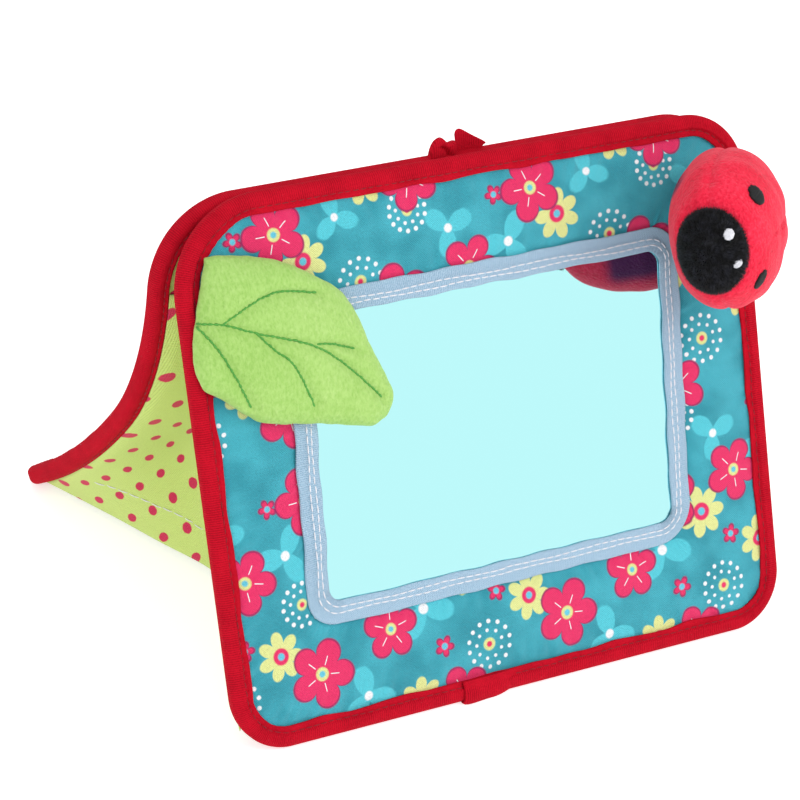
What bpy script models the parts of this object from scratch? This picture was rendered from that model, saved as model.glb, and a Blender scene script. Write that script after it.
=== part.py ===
"""A soft fold-out baby mirror: two bound cloth panels, a mirror, a leaf flap and a ladybird.

Lengths are in metres, +Z is up and the mirror faces -Y. The origin is on the surface that
the mirror stands on, in the middle of the front panel's foot.
A point on a panel is (x, u, m): x across, u down from the top edge along the cloth, and
m out from the lining's face towards the cover.
"""
import math

import bmesh
import bpy
from mathutils import Vector

# Both panels
PANEL_WIDTH = 0.245
PANEL_HEIGHT = 0.205
CORNER_RADIUS = 0.026
FRONT_FOOT_RADIUS = 0.022
CLEARANCE = 0.0003
CLOTH = 0.0007
FRONT_WADDING = 0.0019
STIFFENER = 0.001
BACK_WADDING = 0.0032
SEAM_INSET = 0.0035

# The stand
FRONT_LEAN = math.radians(27.3)
BACK_OVERHANG = 0.003
BACK_LENGTH = 0.2098
BACK_WIDTH = PANEL_WIDTH + 2 * BACK_OVERHANG
BACK_TOP_RADIUS = 0.033
BACK_DROP = 0.002
BACK_FOOT_RADIUS = 0.009
BACK_STRAIGHT = 0.020
BACK_BEND = math.radians(45.5)
BACK_BEND_RADIUS = 0.1095
BACK_FLARE_RADIUS = 0.334
FLEX_GAP = 0.0003
FLOOR_CUT = 0.0005

# Red binding tape
TAPE = 0.0008
BINDING_FACE = 0.0080
BINDING_FOLD = 0.006
BINDING_ROUND = 0.0032
LAP_LENGTH = 0.022
LAP_OFFSET = 0.016

# Mirror and its webbing
MIRROR_SHEET = 0.0006
WEBBING_THICKNESS = 0.0008
WEBBING_WIDTH = 0.0088
WEBBING_OUTER_RADIUS = 0.011
WEBBING_INNER_RADIUS = 0.005
WINDOW_WIDTH = 0.1525
WINDOW_HEIGHT = 0.106
WINDOW_SHIFT = 0.0003
WINDOW_BOTTOM = 0.050
MIRROR_HEM = 0.0045

# Side gussets, which fold in between the panels
GUSSET_TOP = 0.034
GUSSET_HEM = 0.0085
GUSSET_SIDE_INSET = 0.005
GUSSET_BACK_INSET = 0.0075
GUSSET_APEX = 0.012
GUSSET_FOLD_DEPTH = 0.036
GUSSET_FOLD_SHARE = 0.12
GUSSET_LEVELS = 16
GUSSET_COLUMNS = 14

# Spare tape at the top of the back panel
TAIL_DEPTH = 0.0052
TAIL_CLOTH = 0.001
FOLD_LENGTH = 0.011
FOLD_HEIGHT = 0.0073
TAPE_END_LENGTH = 0.0105
TAPE_END_HEIGHT = 0.0092
TAPE_END_SPACE = 0.001
TAIL_START = 0.011
TAPE_END_SHARES = ((0.0, 0.0), (0.02, 0.55), (0.0, 0.85), (0.1, 1.0), (0.32, 1.0), (1.0, 0.42), (0.86, 0.0))

# Leaf
LEAF_WIDTH = 0.077
LEAF_HEIGHT = 0.073
LEAF_ROOT_INSET = 0.0
LEAF_BOTTOM = 0.113
LEAF_LOFT = 0.0085
LEAF_CLOTH = 0.0009
LEAF_OUTLINE_SHARES = (
    (0.11, 0.97), (0.32, 0.985), (0.51, 0.90), (0.72, 0.77), (0.85, 0.60), (0.93, 0.38),
    (1.0, 0.165), (0.98, 0.055), (0.865, 0.0), (0.60, 0.07), (0.345, 0.125), (0.15, 0.25),
    (0.026, 0.40), (0.0, 0.56), (0.02, 0.726), (0.06, 0.86),
)
LEAF_RING_SHARES = (1.0, 0.97, 0.88, 0.70, 0.42)

# Ladybird
BUG_LENGTH = 0.078
BUG_WIDTH = 0.060
BUG_BACK_DEPTH = 0.0218
BUG_BELLY_DEPTH = 0.0208
BUG_CLOTH = 0.0009
BUG_SLACK = 0.0015
BUG_ACROSS = 0.0910
BUG_UP_PANEL = 0.1647
BUG_SEAT = 0.0009
BUG_TILT = math.radians(45.0)
BUG_HEAD_DROP = math.radians(5.2)
BUG_ROUNDNESS = 2.05
BUG_HEAD_WIDTH = 0.0386
BUG_HEAD_DEPTH = 0.0323
BUG_HEAD_BULGE = 0.004
BUG_EYE_WIDTH = 0.004
BUG_EYE_SPREAD = 0.0119
BUG_EYE_RISE = 0.0097
BUG_SPOT_WIDTH = 0.0085
BUG_PATCH = 0.0006
BUG_SPOT_FRONT = (math.radians(50.0), math.radians(45.0))
BUG_SPOT_REAR = (math.radians(145.0), math.radians(42.0))

# Fineness of the meshes
CORNER_STEPS = 6
ROUND_STEPS = 3
CURVE_STEP = 0.0075
LEAF_STEPS_PER_POINT = 2
BUG_COLUMNS = 24


class Material:
    """Finishes, one material for each cloth."""

    made = {}

    @classmethod
    def get(cls, name, colour, roughness, metallic=0.0):
        if name not in cls.made:
            material = bpy.data.materials.new(name)
            material.use_nodes = True
            shader = material.node_tree.nodes["Principled BSDF"]
            shader.inputs["Base Color"].default_value = (*colour, 1.0)
            shader.inputs["Roughness"].default_value = roughness
            shader.inputs["Metallic"].default_value = metallic
            material.diffuse_color = (*colour, 1.0)
            cls.made[name] = material
        return cls.made[name]


def red_tape():
    return Material.get("red_tape", (0.55, 0.012, 0.03), 0.85)


def printed_cotton():
    return Material.get("printed_cotton", (0.03, 0.28, 0.35), 0.8)


def dotted_cotton():
    return Material.get("dotted_cotton", (0.55, 0.72, 0.14), 0.85)


def wadding_fleece():
    return Material.get("wadding_fleece", (0.85, 0.85, 0.82), 0.95)


def stiffener_sheet():
    return Material.get("stiffener_sheet", (0.75, 0.75, 0.72), 0.5)


def mirror_face():
    return Material.get("mirror_face", (0.45, 0.93, 0.98), 0.05, 1.0)


def blue_webbing():
    return Material.get("blue_webbing", (0.30, 0.48, 0.70), 0.85)


def green_velour():
    return Material.get("green_velour", (0.45, 0.75, 0.17), 0.95)


def red_plush():
    return Material.get("red_plush", (0.82, 0.02, 0.08), 0.95)


def black_fur():
    return Material.get("black_fur", (0.012, 0.012, 0.015), 0.95)


def white_thread():
    return Material.get("white_thread", (0.85, 0.85, 0.85), 0.7)


def finish_object(name, mesh_builder, material):
    """Turns a bmesh into a named object with outward faces and one material."""
    bmesh.ops.recalc_face_normals(mesh_builder, faces=mesh_builder.faces[:])
    mesh = bpy.data.meshes.new(name)
    mesh_builder.to_mesh(mesh)
    mesh_builder.free()
    mesh.materials.append(material)
    obj = bpy.data.objects.new(name, mesh)
    bpy.context.scene.collection.objects.link(obj)
    return obj


def shade_round(obj, angle=math.radians(40.0)):
    obj.data.shade_smooth()
    obj.data.set_sharp_from_angle(angle=angle)


# The two panels' surfaces

PAD_FRONT = CLOTH + STIFFENER + FRONT_WADDING + CLOTH + 3 * CLEARANCE
PAD_BACK = CLOTH + BACK_WADDING + CLOTH + 2 * CLEARANCE
TAPE_OUT = CLEARANCE + TAPE
ROUND_DEPTH = BINDING_ROUND - TAPE_OUT
FLEX_DOWN = BACK_STRAIGHT + BACK_BEND * BACK_BEND_RADIUS / 2


class FrontPanel:
    """Flat panel that leans back from its foot."""

    pad = PAD_FRONT

    def __init__(self):
        lean_sin, lean_cos = math.sin(FRONT_LEAN), math.cos(FRONT_LEAN)
        self.up = Vector((0.0, lean_sin, lean_cos))
        self.out = Vector((0.0, -lean_cos, lean_sin))
        self.base = Vector((0.0, 0.0, 0.0))
        foot = self.place(0.0, PANEL_HEIGHT - BINDING_ROUND, ROUND_DEPTH)
        self.base = Vector((0.0, -foot.y, BINDING_ROUND - foot.z - FLOOR_CUT))

    def place(self, x, u, m):
        point = self.base + self.up * (PANEL_HEIGHT - u) + self.out * (m - self.pad)
        return Vector((x, point.y, point.z))


class BackPanel:
    """Stand panel: straight at the top, bent in the middle, and flared out to its foot."""

    pad = PAD_BACK

    def __init__(self, front):
        self.pivot = front.place(0.0, BINDING_ROUND, ROUND_DEPTH)
        low, high = FRONT_LEAN - math.pi / 2, FRONT_LEAN
        for _ in range(60):
            self.lean = (low + high) / 2
            self.set_start()
            if self.foot_height() > -FLOOR_CUT:
                low = self.lean
            else:
                high = self.lean

    def set_start(self):
        """The rounded top edges of both panels stay one clearance apart."""
        out = self.outward(self.lean)
        corner = self.pivot + out * (2 * BINDING_ROUND + CLEARANCE)
        middle = corner - out * (ROUND_DEPTH - self.pad / 2)
        self.start = middle - self.down(self.lean) * (BINDING_ROUND - BACK_DROP)

    @staticmethod
    def down(lean):
        return Vector((0.0, -math.sin(lean), -math.cos(lean)))

    @staticmethod
    def outward(lean):
        return Vector((0.0, math.cos(lean), -math.sin(lean)))

    @staticmethod
    def arc(lean_from, lean_to, radius):
        return Vector((
            0.0,
            radius * (math.cos(lean_from) - math.cos(lean_to)),
            radius * (math.sin(lean_to) - math.sin(lean_from)),
        ))

    def centre(self, u):
        """Middle of the padding and the lean there, at a distance u below the top edge."""
        straight = min(u, BACK_STRAIGHT)
        point, lean = self.start + self.down(self.lean) * straight, self.lean
        if u > BACK_STRAIGHT:
            turn = min((u - BACK_STRAIGHT) / BACK_BEND_RADIUS, BACK_BEND)
            point = point + self.arc(lean, lean - turn, BACK_BEND_RADIUS)
            lean -= turn
        flare_start = BACK_STRAIGHT + BACK_BEND * BACK_BEND_RADIUS
        if u > flare_start:
            turn = (u - flare_start) / BACK_FLARE_RADIUS
            point = point + self.arc(lean, lean - turn, BACK_FLARE_RADIUS)
            lean -= turn
        return point, lean

    def place(self, x, u, m):
        point, lean = self.centre(u)
        point = point + self.outward(lean) * (m - self.pad / 2)
        return Vector((x, point.y, point.z))

    def foot_height(self):
        u = BACK_LENGTH - BINDING_ROUND
        depths = (ROUND_DEPTH, self.pad - ROUND_DEPTH)
        return min(self.place(0.0, u, m).z for m in depths) - BINDING_ROUND


FRONT = FrontPanel()
BACK = BackPanel(FRONT)


# Outlines in a panel's surface

def rounded_loop(left, right, top, bottom, radius, low_radius, breaks=()):
    """Points (x, u) anticlockwise from the middle of the bottom, with stops at the breaks."""
    corners = (
        (left + low_radius, bottom - low_radius, 90.0, low_radius),
        (left + radius, top + radius, 180.0, radius),
        (right - radius, top + radius, 270.0, radius),
        (right - low_radius, bottom - low_radius, 0.0, low_radius),
    )
    loop = [((left + right) / 2, bottom)]
    for number, (x, u, start, size) in enumerate(corners):
        for step in range(CORNER_STEPS + 1):
            angle = math.radians(start + 90.0 * step / CORNER_STEPS)
            loop.append((x + size * math.cos(angle), u + size * math.sin(angle)))
        inside = [b for b in breaks if top + radius < b < bottom - low_radius]
        if number == 0:
            loop += [(left, b) for b in sorted(inside, reverse=True)]
        if number == 2:
            loop += [(right, b) for b in sorted(inside)]
    return loop


def front_loop(inset):
    half, low_radius = PANEL_WIDTH / 2 - inset, FRONT_FOOT_RADIUS - inset
    return rounded_loop(-half, half, inset, PANEL_HEIGHT - inset, CORNER_RADIUS - inset, low_radius)


def back_loop(inset):
    half, low_radius = BACK_WIDTH / 2 - inset, BACK_FOOT_RADIUS - inset
    radius = BACK_TOP_RADIUS - inset
    return rounded_loop(-half, half, inset, BACK_LENGTH - inset, radius, low_radius, curve_breaks())


def between(outer, inner, share):
    return outer[0] + (inner[0] - outer[0]) * share, outer[1] + (inner[1] - outer[1]) * share


def curve_breaks():
    """Stops down the back panel, close enough together for its curves, and at the flex line."""
    first, last = BACK_STRAIGHT, BACK_LENGTH - BACK_FOOT_RADIUS
    count = max(2, round((last - first) / CURVE_STEP))
    stops = [first + (last - first) * i / count for i in range(count)]
    stops = [s for s in stops if abs(s - FLEX_DOWN) > CURVE_STEP / 2]
    return sorted([*stops, FLEX_DOWN - FLEX_GAP / 2, FLEX_DOWN + FLEX_GAP / 2])


def plate(name, panel, loop, low, high, material):
    """Flat sheet or board on a panel, from m low to m high."""
    builder = bmesh.new()
    under = [builder.verts.new(panel.place(x, u, low)) for x, u in loop]
    over = [builder.verts.new(panel.place(x, u, high)) for x, u in loop]
    builder.faces.new(under)
    builder.faces.new(over)
    for i, _ in enumerate(loop):
        j = (i + 1) % len(loop)
        builder.faces.new((under[i], under[j], over[j], over[i]))
    return finish_object(name, builder, material)


def curved_layer(name, first, last, inset, low, high, material):
    """One layer of the back panel between two distances down from its top edge."""
    radius, low_radius = BACK_TOP_RADIUS - inset, BACK_FOOT_RADIUS - inset
    half, top, bottom = BACK_WIDTH / 2 - inset, inset, BACK_LENGTH - inset
    stops = [stop for stop in curve_breaks() if top + radius < stop < bottom - low_radius]
    for step in range(CORNER_STEPS + 1):
        rise = 1 - math.cos(math.pi / 2 * step / CORNER_STEPS)
        stops += [top + radius * rise, bottom - low_radius * rise]
    stops = sorted({round(s, 9) for s in stops if first + CLEARANCE < s < last - CLEARANCE} | {first, last})
    builder, rows = bmesh.new(), []
    for u in stops:
        size, edge = (radius, u - top) if u < FLEX_DOWN else (low_radius, bottom - u)
        reach = max(0.0, size - edge)
        width = half - size + math.sqrt(max(size ** 2 - reach ** 2, 0.0))
        corners = ((-width, low), (width, low), (width, high), (-width, high))
        rows.append([builder.verts.new(BACK.place(x, u, m)) for x, m in corners])
    for near, far in zip(rows, rows[1:]):
        for i in range(4):
            j = (i + 1) % 4
            builder.faces.new((near[i], near[j], far[j], far[i]))
    builder.faces.new(rows[0])
    builder.faces.new(rows[-1])
    return finish_object(name, builder, material)


def taped_edge(name, panel, outer, inner, section, closed, material):
    """Sweeps a section of (share from the outer to the inner outline, m) along two outlines."""
    builder, rows = bmesh.new(), []
    for outer_point, inner_point in zip(outer, inner):
        row = []
        for share, m in section:
            x, u = between(outer_point, inner_point, share)
            row.append(builder.verts.new(panel.place(x, u, m)))
        rows.append(row)
    pairs = list(zip(rows, rows[1:])) + ([(rows[-1], rows[0])] if closed else [])
    for near, far in pairs:
        for i, _ in enumerate(section):
            j = (i + 1) % len(section)
            builder.faces.new((near[i], near[j], far[j], far[i]))
    if not closed:
        builder.faces.new(rows[0])
        builder.faces.new(rows[-1])
    obj = finish_object(name, builder, material)
    shade_round(obj)
    return obj


def binding_section(pad):
    """Closed section of the folded tape, as (share in from the edge, m)."""
    skin = []
    radius = BINDING_ROUND
    high, low = pad + TAPE_OUT, -TAPE_OUT
    skin.append((BINDING_FACE, high))
    skin += arc_points(radius, high - radius, radius, 90.0, 0.0)
    skin += arc_points(radius, low + radius, radius, 0.0, -90.0)
    skin.append((BINDING_FOLD, low))
    skin.append((BINDING_FOLD, low + TAPE))
    inner = radius - TAPE
    skin += arc_points(radius, low + radius, inner, -90.0, 0.0)
    skin += arc_points(radius, high - radius, inner, 0.0, 90.0)
    skin.append((BINDING_FACE, high - TAPE))
    return [(d / BINDING_FACE, m) for d, m in skin]


def arc_points(centre_in, centre_m, radius, start, stop):
    """Points on an arc that faces the panel's edge at 0 degrees and the cover at 90."""
    points = []
    for step in range(ROUND_STEPS + 1):
        angle = math.radians(start + (stop - start) * step / ROUND_STEPS)
        points.append((centre_in - radius * math.cos(angle), centre_m + radius * math.sin(angle)))
    return points


def lap_section(pad):
    """The folded end lies over the binding's cover side and half of its rounded edge."""
    high = pad + TAPE_OUT
    radius = BINDING_ROUND + CLEARANCE
    points = [(BINDING_FACE, high + CLEARANCE)]
    points += arc_points(BINDING_ROUND, high - BINDING_ROUND, radius, 90.0, 0.0)
    points += arc_points(BINDING_ROUND, high - BINDING_ROUND, radius + TAPE, 0.0, 90.0)
    points.append((BINDING_FACE, high + CLEARANCE + TAPE))
    return [(d / BINDING_FACE, m) for d, m in points]


def cut_at_floor(obj):
    """Flattens a foot where the cloth presses on the floor."""
    size = PANEL_WIDTH + BACK_LENGTH
    builder = bmesh.new()
    bmesh.ops.create_cube(builder, size=size)
    bmesh.ops.translate(builder, verts=builder.verts, vec=(0.0, 0.0, -size / 2))
    cutter = finish_object(obj.name + "_cutter", builder, red_tape())
    cutter.hide_render = True
    cutter.display_type = "WIRE"
    modifier = obj.modifiers.new("floor", "BOOLEAN")
    modifier.operation = "DIFFERENCE"
    modifier.object = cutter


def build_front_panel():
    inset_loop = front_loop(SEAM_INSET)
    level = 0.0
    layers = (
        ("front_lining", CLOTH, dotted_cotton()),
        ("front_stiffener", STIFFENER, stiffener_sheet()),
        ("front_wadding", FRONT_WADDING, wadding_fleece()),
        ("front_cover", CLOTH, printed_cotton()),
    )
    for name, thickness, material in layers:
        plate(name, FRONT, inset_loop, level, level + thickness, material)
        level += thickness + CLEARANCE
    outer, inner = front_loop(0.0), front_loop(BINDING_FACE)
    section = binding_section(PAD_FRONT)
    cut_at_floor(taped_edge("front_binding", FRONT, outer, inner, section, True, red_tape()))
    ends = (-LAP_OFFSET - LAP_LENGTH / 2, -LAP_OFFSET + LAP_LENGTH / 2)
    lap_outer = [(x, PANEL_HEIGHT) for x in ends]
    lap_inner = [(x, PANEL_HEIGHT - BINDING_FACE) for x in ends]
    section = lap_section(PAD_FRONT)
    lap = taped_edge("front_binding_lap", FRONT, lap_outer, lap_inner, section, False, red_tape())
    cut_at_floor(lap)


def build_mirror():
    half = WINDOW_WIDTH / 2
    bottom = PANEL_HEIGHT - WINDOW_BOTTOM
    edges = (WINDOW_SHIFT - half, WINDOW_SHIFT + half, bottom - WINDOW_HEIGHT, bottom)
    inner = rounded_loop(*edges, WEBBING_INNER_RADIUS, WEBBING_INNER_RADIUS)
    left, right, top, low = edges
    wide = WEBBING_WIDTH
    sides = (left - wide, right + wide, top - wide, low + wide)
    outer = rounded_loop(*sides, WEBBING_OUTER_RADIUS, WEBBING_OUTER_RADIUS)
    hem_share = 1 - MIRROR_HEM / WEBBING_WIDTH
    step_share = hem_share - CLEARANCE / WEBBING_WIDTH
    sheet_loop = [between(o, i, hem_share) for o, i in zip(outer, inner)]
    seat = PAD_FRONT + CLEARANCE
    plate("mirror_sheet", FRONT, sheet_loop, seat, seat + MIRROR_SHEET, mirror_face())
    over = seat + MIRROR_SHEET + CLEARANCE
    top_level = over + WEBBING_THICKNESS
    section = [(0.0, seat), (step_share, seat), (step_share, over)]
    section += [(1.0, over), (1.0, top_level), (0.0, top_level)]
    taped_edge("webbing_frame", FRONT, outer, inner, section, True, blue_webbing())
    return top_level


def part_of_loop(outer, inner, keep, start_right):
    """The pairs of outline points that are on one body, in one run."""
    pairs = list(zip(outer, inner))
    if start_right:
        first = next(i for i, (o, _) in enumerate(pairs) if i > len(pairs) // 2 and keep(o[1]))
        pairs = pairs[first:] + pairs[:first]
    return [list(side) for side in zip(*[pair for pair in pairs if keep(pair[0][1])])]


def build_back_panel():
    split = {"upper": (SEAM_INSET, FLEX_DOWN - FLEX_GAP / 2)}
    split["lower"] = (FLEX_DOWN + FLEX_GAP / 2, BACK_LENGTH - SEAM_INSET)
    layers = (
        ("back_lining", CLOTH, dotted_cotton()),
        ("back_wadding", BACK_WADDING, wadding_fleece()),
        ("back_cover", CLOTH, printed_cotton()),
    )
    for half, (first, last) in split.items():
        level = 0.0
        for name, thickness, material in layers:
            ends = (first, last, SEAM_INSET, level, level + thickness)
            curved_layer(f"{name}_{half}", *ends, material)
            level += thickness + CLEARANCE
    outer, inner = back_loop(0.0), back_loop(BINDING_FACE)
    section = binding_section(PAD_BACK)
    upper = part_of_loop(outer, inner, lambda u: u < FLEX_DOWN, False)
    taped_edge("back_binding_upper", BACK, *upper, section, False, red_tape())
    lower = part_of_loop(outer, inner, lambda u: u > FLEX_DOWN, True)
    cut_at_floor(taped_edge("back_binding_lower", BACK, *lower, section, False, red_tape()))


class Gusset:
    """Folded cloth wall: points by a share across from the back panel, and a distance from the top."""

    lift = -TAPE_OUT - CLEARANCE - CLOTH / 2

    def __init__(self, side):
        self.side = side
        self.last = PANEL_HEIGHT - GUSSET_HEM
        self.reach = math.hypot(GUSSET_FOLD_DEPTH, self.gap(self.last) / 2)

    def ends(self, down):
        """Where a level meets the back and the front panel."""
        back_x = self.side * (BACK_WIDTH / 2 - GUSSET_BACK_INSET)
        front_x = self.side * (PANEL_WIDTH / 2 - GUSSET_SIDE_INSET)
        back_down = down + (BACK_LENGTH - PANEL_HEIGHT) * (down - GUSSET_TOP) / (self.last - GUSSET_TOP)
        return BACK.place(back_x, back_down, self.lift), FRONT.place(front_x, down, self.lift)

    def gap(self, down):
        back, front = self.ends(down)
        return (back - front).length

    def fold_depth(self, down):
        """The crease stands in by what is left of the cloth's width, which tapers to the top."""
        half = self.reach * (down - GUSSET_APEX) / (self.last - GUSSET_APEX)
        return math.sqrt(max(half ** 2 - (self.gap(down) / 2) ** 2, CLEARANCE ** 2))

    def point(self, share, down):
        back, front = self.ends(down)
        blunt = GUSSET_FOLD_SHARE
        sharp = math.hypot(1, blunt) - math.hypot(2 * share - 1, blunt)
        depth = self.fold_depth(down) * sharp / (math.hypot(1, blunt) - blunt)
        return back + (front - back) * share - Vector((self.side * depth, 0.0, 0.0))

    def skin(self, share, down, lift):
        here = self.point(share, down)
        over = self.point(share + CLEARANCE, down) - self.point(share - CLEARANCE, down)
        below = self.point(share, down + CLEARANCE) - self.point(share, down - CLEARANCE)
        return here + over.cross(below).normalized() * lift


def build_gusset(name, side):
    gusset = Gusset(side)
    grids = []
    for lift in (CLOTH / 2, -CLOTH / 2):
        grid = []
        for i in range(GUSSET_LEVELS + 1):
            down = GUSSET_TOP + (gusset.last - GUSSET_TOP) * i / GUSSET_LEVELS
            row = [gusset.skin(j / GUSSET_COLUMNS, down, lift) for j in range(GUSSET_COLUMNS + 1)]
            grid.append(row)
        grids.append(grid)
    builder = bmesh.new()
    outer, inner = ([[builder.verts.new(p) for p in row] for row in grid] for grid in grids)
    close_grid(builder, outer, inner)
    shade_round(finish_object(name, builder, dotted_cotton()))


def strip(name, points, thickness, near, far, material):
    """Cloth strip that follows points (x, u) on the back panel, standing on its edge."""
    builder = bmesh.new()
    rows = [[builder.verts.new(BACK.place(x, u, m)) for m in (near, far)] for x, u in points]
    for here, there in zip(rows, rows[1:]):
        builder.faces.new((here[0], here[1], there[1], there[0]))
    obj = finish_object(name, builder, material)
    modifier = obj.modifiers.new("cloth", "SOLIDIFY")
    modifier.thickness = thickness
    modifier.offset = 0.0
    return obj


def build_spare_tape():
    """The back binding's tape ends stand up at the top edge as a fold and a pointed end."""
    near = (PAD_BACK - TAIL_DEPTH) / 2
    far = near + TAIL_DEPTH
    seat = -CLEARANCE - TAIL_CLOTH / 2
    start = -TAIL_START
    fold = []
    for step in range(9):
        turn = math.pi * step / 8
        x = start + FOLD_LENGTH * (1 - math.cos(turn)) / 2
        fold.append((x, seat + (-FOLD_HEIGHT - seat) * math.sin(turn) ** 0.7))
    strip("top_tape_fold", fold, TAIL_CLOTH, near, far, red_tape())
    left = start + FOLD_LENGTH + TAPE_END_SPACE
    loop = []
    for along, rise in TAPE_END_SHARES:
        loop.append((left + along * TAPE_END_LENGTH, -CLEARANCE - rise * TAPE_END_HEIGHT))
    plate("top_tape_end", BACK, loop, far - 2 * TAIL_CLOTH, far - TAIL_CLOTH, red_tape())


# The leaf

def smooth_loop(points, steps):
    """Closed Catmull-Rom curve through points."""
    loop, count = [], len(points)
    for i in range(count):
        before, here, there, after = (Vector(points[(i + k) % count]) for k in (-1, 0, 1, 2))
        for step in range(steps):
            t = step / steps
            point = 2 * here + (there - before) * t
            point += (2 * before - 5 * here + 4 * there - after) * t ** 2
            point += (3 * here - before - 3 * there + after) * t ** 3
            loop.append(point / 2)
    return loop


def leaf_loop(inset):
    left, low = -PANEL_WIDTH / 2 + LEAF_ROOT_INSET, PANEL_HEIGHT - LEAF_BOTTOM
    points = [(left + LEAF_WIDTH * a, low - LEAF_HEIGHT * r) for a, r in LEAF_OUTLINE_SHARES]
    loop = smooth_loop(points, LEAF_STEPS_PER_POINT)
    middle = sum(loop, Vector((0.0, 0.0))) / len(loop)
    return [middle + (p - middle) * (1 - inset / (p - middle).length) for p in loop], middle


def leaf_rings(builder, inset, base, loft):
    """Rings of a low dome over the leaf's outline, from its rim to its middle."""
    loop, middle = leaf_loop(inset)
    rings = []
    for ring_share in LEAF_RING_SHARES:
        rise = base + loft * math.sqrt(1 - ring_share ** 3)
        ring = [middle + (p - middle) * ring_share for p in loop]
        rings.append([builder.verts.new(FRONT.place(p.x, p.y, rise)) for p in ring])
    crown = builder.verts.new(FRONT.place(middle.x, middle.y, base + loft))
    for near, far in zip(rings, rings[1:]):
        for i, _ in enumerate(near):
            j = (i + 1) % len(near)
            builder.faces.new((near[i], near[j], far[j], far[i]))
    last = rings[-1]
    for i, _ in enumerate(last):
        builder.faces.new((last[i], last[(i + 1) % len(last)], crown))
    return rings[0]


def dome(name, inset, base, loft, material):
    """Solid with a flat underside and a swelling top."""
    builder = bmesh.new()
    builder.faces.new(leaf_rings(builder, inset, base, loft))
    obj = finish_object(name, builder, material)
    shade_round(obj)
    return obj


def build_leaf(seat):
    outline = [tuple(p) for p in leaf_loop(0.0)[0]]
    plate("leaf_underside", FRONT, outline, seat, seat + LEAF_CLOTH, green_velour())
    base = seat + LEAF_CLOTH + CLEARANCE
    inset = LEAF_CLOTH + CLEARANCE
    dome("leaf_wadding", inset, base, LEAF_LOFT - inset, wadding_fleece())
    builder = bmesh.new()
    outer = leaf_rings(builder, 0.0, base, LEAF_LOFT)
    inner = leaf_rings(builder, LEAF_CLOTH, base, LEAF_LOFT - LEAF_CLOTH)
    for i, _ in enumerate(outer):
        j = (i + 1) % len(outer)
        builder.faces.new((outer[i], inner[i], inner[j], outer[j]))
    shade_round(finish_object("leaf_top", builder, green_velour()))


# The ladybird

class Ladybird:
    """A body that swells from its middle: points are given by a direction and a depth under the cloth."""

    def __init__(self):
        across, out = Vector((1.0, 0.0, 0.0)), FRONT.out
        ahead = out * math.sin(BUG_TILT) - across * math.cos(BUG_TILT)
        self.ahead = (ahead * math.cos(BUG_HEAD_DROP) - FRONT.up * math.sin(BUG_HEAD_DROP)).normalized()
        self.back = (out * math.cos(BUG_TILT) + across * math.sin(BUG_TILT)).normalized()
        self.side = self.ahead.cross(self.back).normalized()
        if self.side.dot(FRONT.up) < 0:
            self.side = -self.side
        self.middle = Vector((0.0, 0.0, 0.0))
        self.contact = min((self.surface(*d) for d in self.directions()), key=out.dot)
        lowest = self.contact.dot(out)
        seat = PAD_FRONT + BUG_SEAT
        self.middle = FRONT.place(BUG_ACROSS, PANEL_HEIGHT - BUG_UP_PANEL, seat) - out * lowest
        self.contact = self.contact + self.middle

    @staticmethod
    def directions():
        for i in range(1, 36):
            for j in range(72):
                yield math.pi * i / 36, 2 * math.pi * j / 72

    def axes(self, turn, round_angle):
        """Shares of a direction at an angle from the head, and round the body from the back."""
        away = math.sin(turn)
        return math.cos(turn), away * math.cos(round_angle), away * math.sin(round_angle)

    def head_share(self, turn, round_angle):
        """0 in the middle of the head, 1 at its rim."""
        ahead, back, side = self.axes(turn, round_angle)
        if ahead <= 0:
            return float("inf")
        reach = BUG_LENGTH / 2 / ahead
        return math.hypot(back * reach / (BUG_HEAD_DEPTH / 2), side * reach / (BUG_HEAD_WIDTH / 2))

    def radius(self, turn, round_angle):
        ahead, back, side = self.axes(turn, round_angle)
        depth = BUG_BACK_DEPTH if back > 0 else BUG_BELLY_DEPTH
        parts = (ahead / (BUG_LENGTH / 2), back / depth, side / (BUG_WIDTH / 2))
        return sum(abs(p) ** BUG_ROUNDNESS for p in parts) ** (-1 / BUG_ROUNDNESS)

    def surface(self, turn, round_angle, lift=0.0):
        ahead, back, side = self.axes(turn, round_angle)
        direction = self.ahead * ahead + self.back * back + self.side * side
        return self.middle + direction * (self.radius(turn, round_angle) + lift)

    def rim(self, round_angle, share=1.0):
        """Angle from the head's middle at which its rim lies, times a share."""
        low, high = 0.0, math.pi / 2
        for _ in range(40):
            middle = (low + high) / 2
            if self.head_share(middle, round_angle) < share:
                low = middle
            else:
                high = middle
        return low


def close_grid(builder, outer, inner):
    """Joins an outer and an inner grid of vertices into one thick sheet."""
    rows, columns = len(outer), len(outer[0])
    for i in range(rows - 1):
        for j in range(columns - 1):
            builder.faces.new((outer[i][j], outer[i + 1][j], outer[i + 1][j + 1], outer[i][j + 1]))
            builder.faces.new((inner[i][j], inner[i][j + 1], inner[i + 1][j + 1], inner[i + 1][j]))
    rim = [(i, 0) for i in range(rows)] + [(rows - 1, j) for j in range(1, columns)]
    rim += [(i, columns - 1) for i in range(rows - 2, -1, -1)] + [(0, j) for j in range(columns - 2, 0, -1)]
    for (i, j), (k, n) in zip(rim, rim[1:] + rim[:1]):
        builder.faces.new((outer[i][j], outer[k][n], inner[k][n], inner[i][j]))


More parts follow.
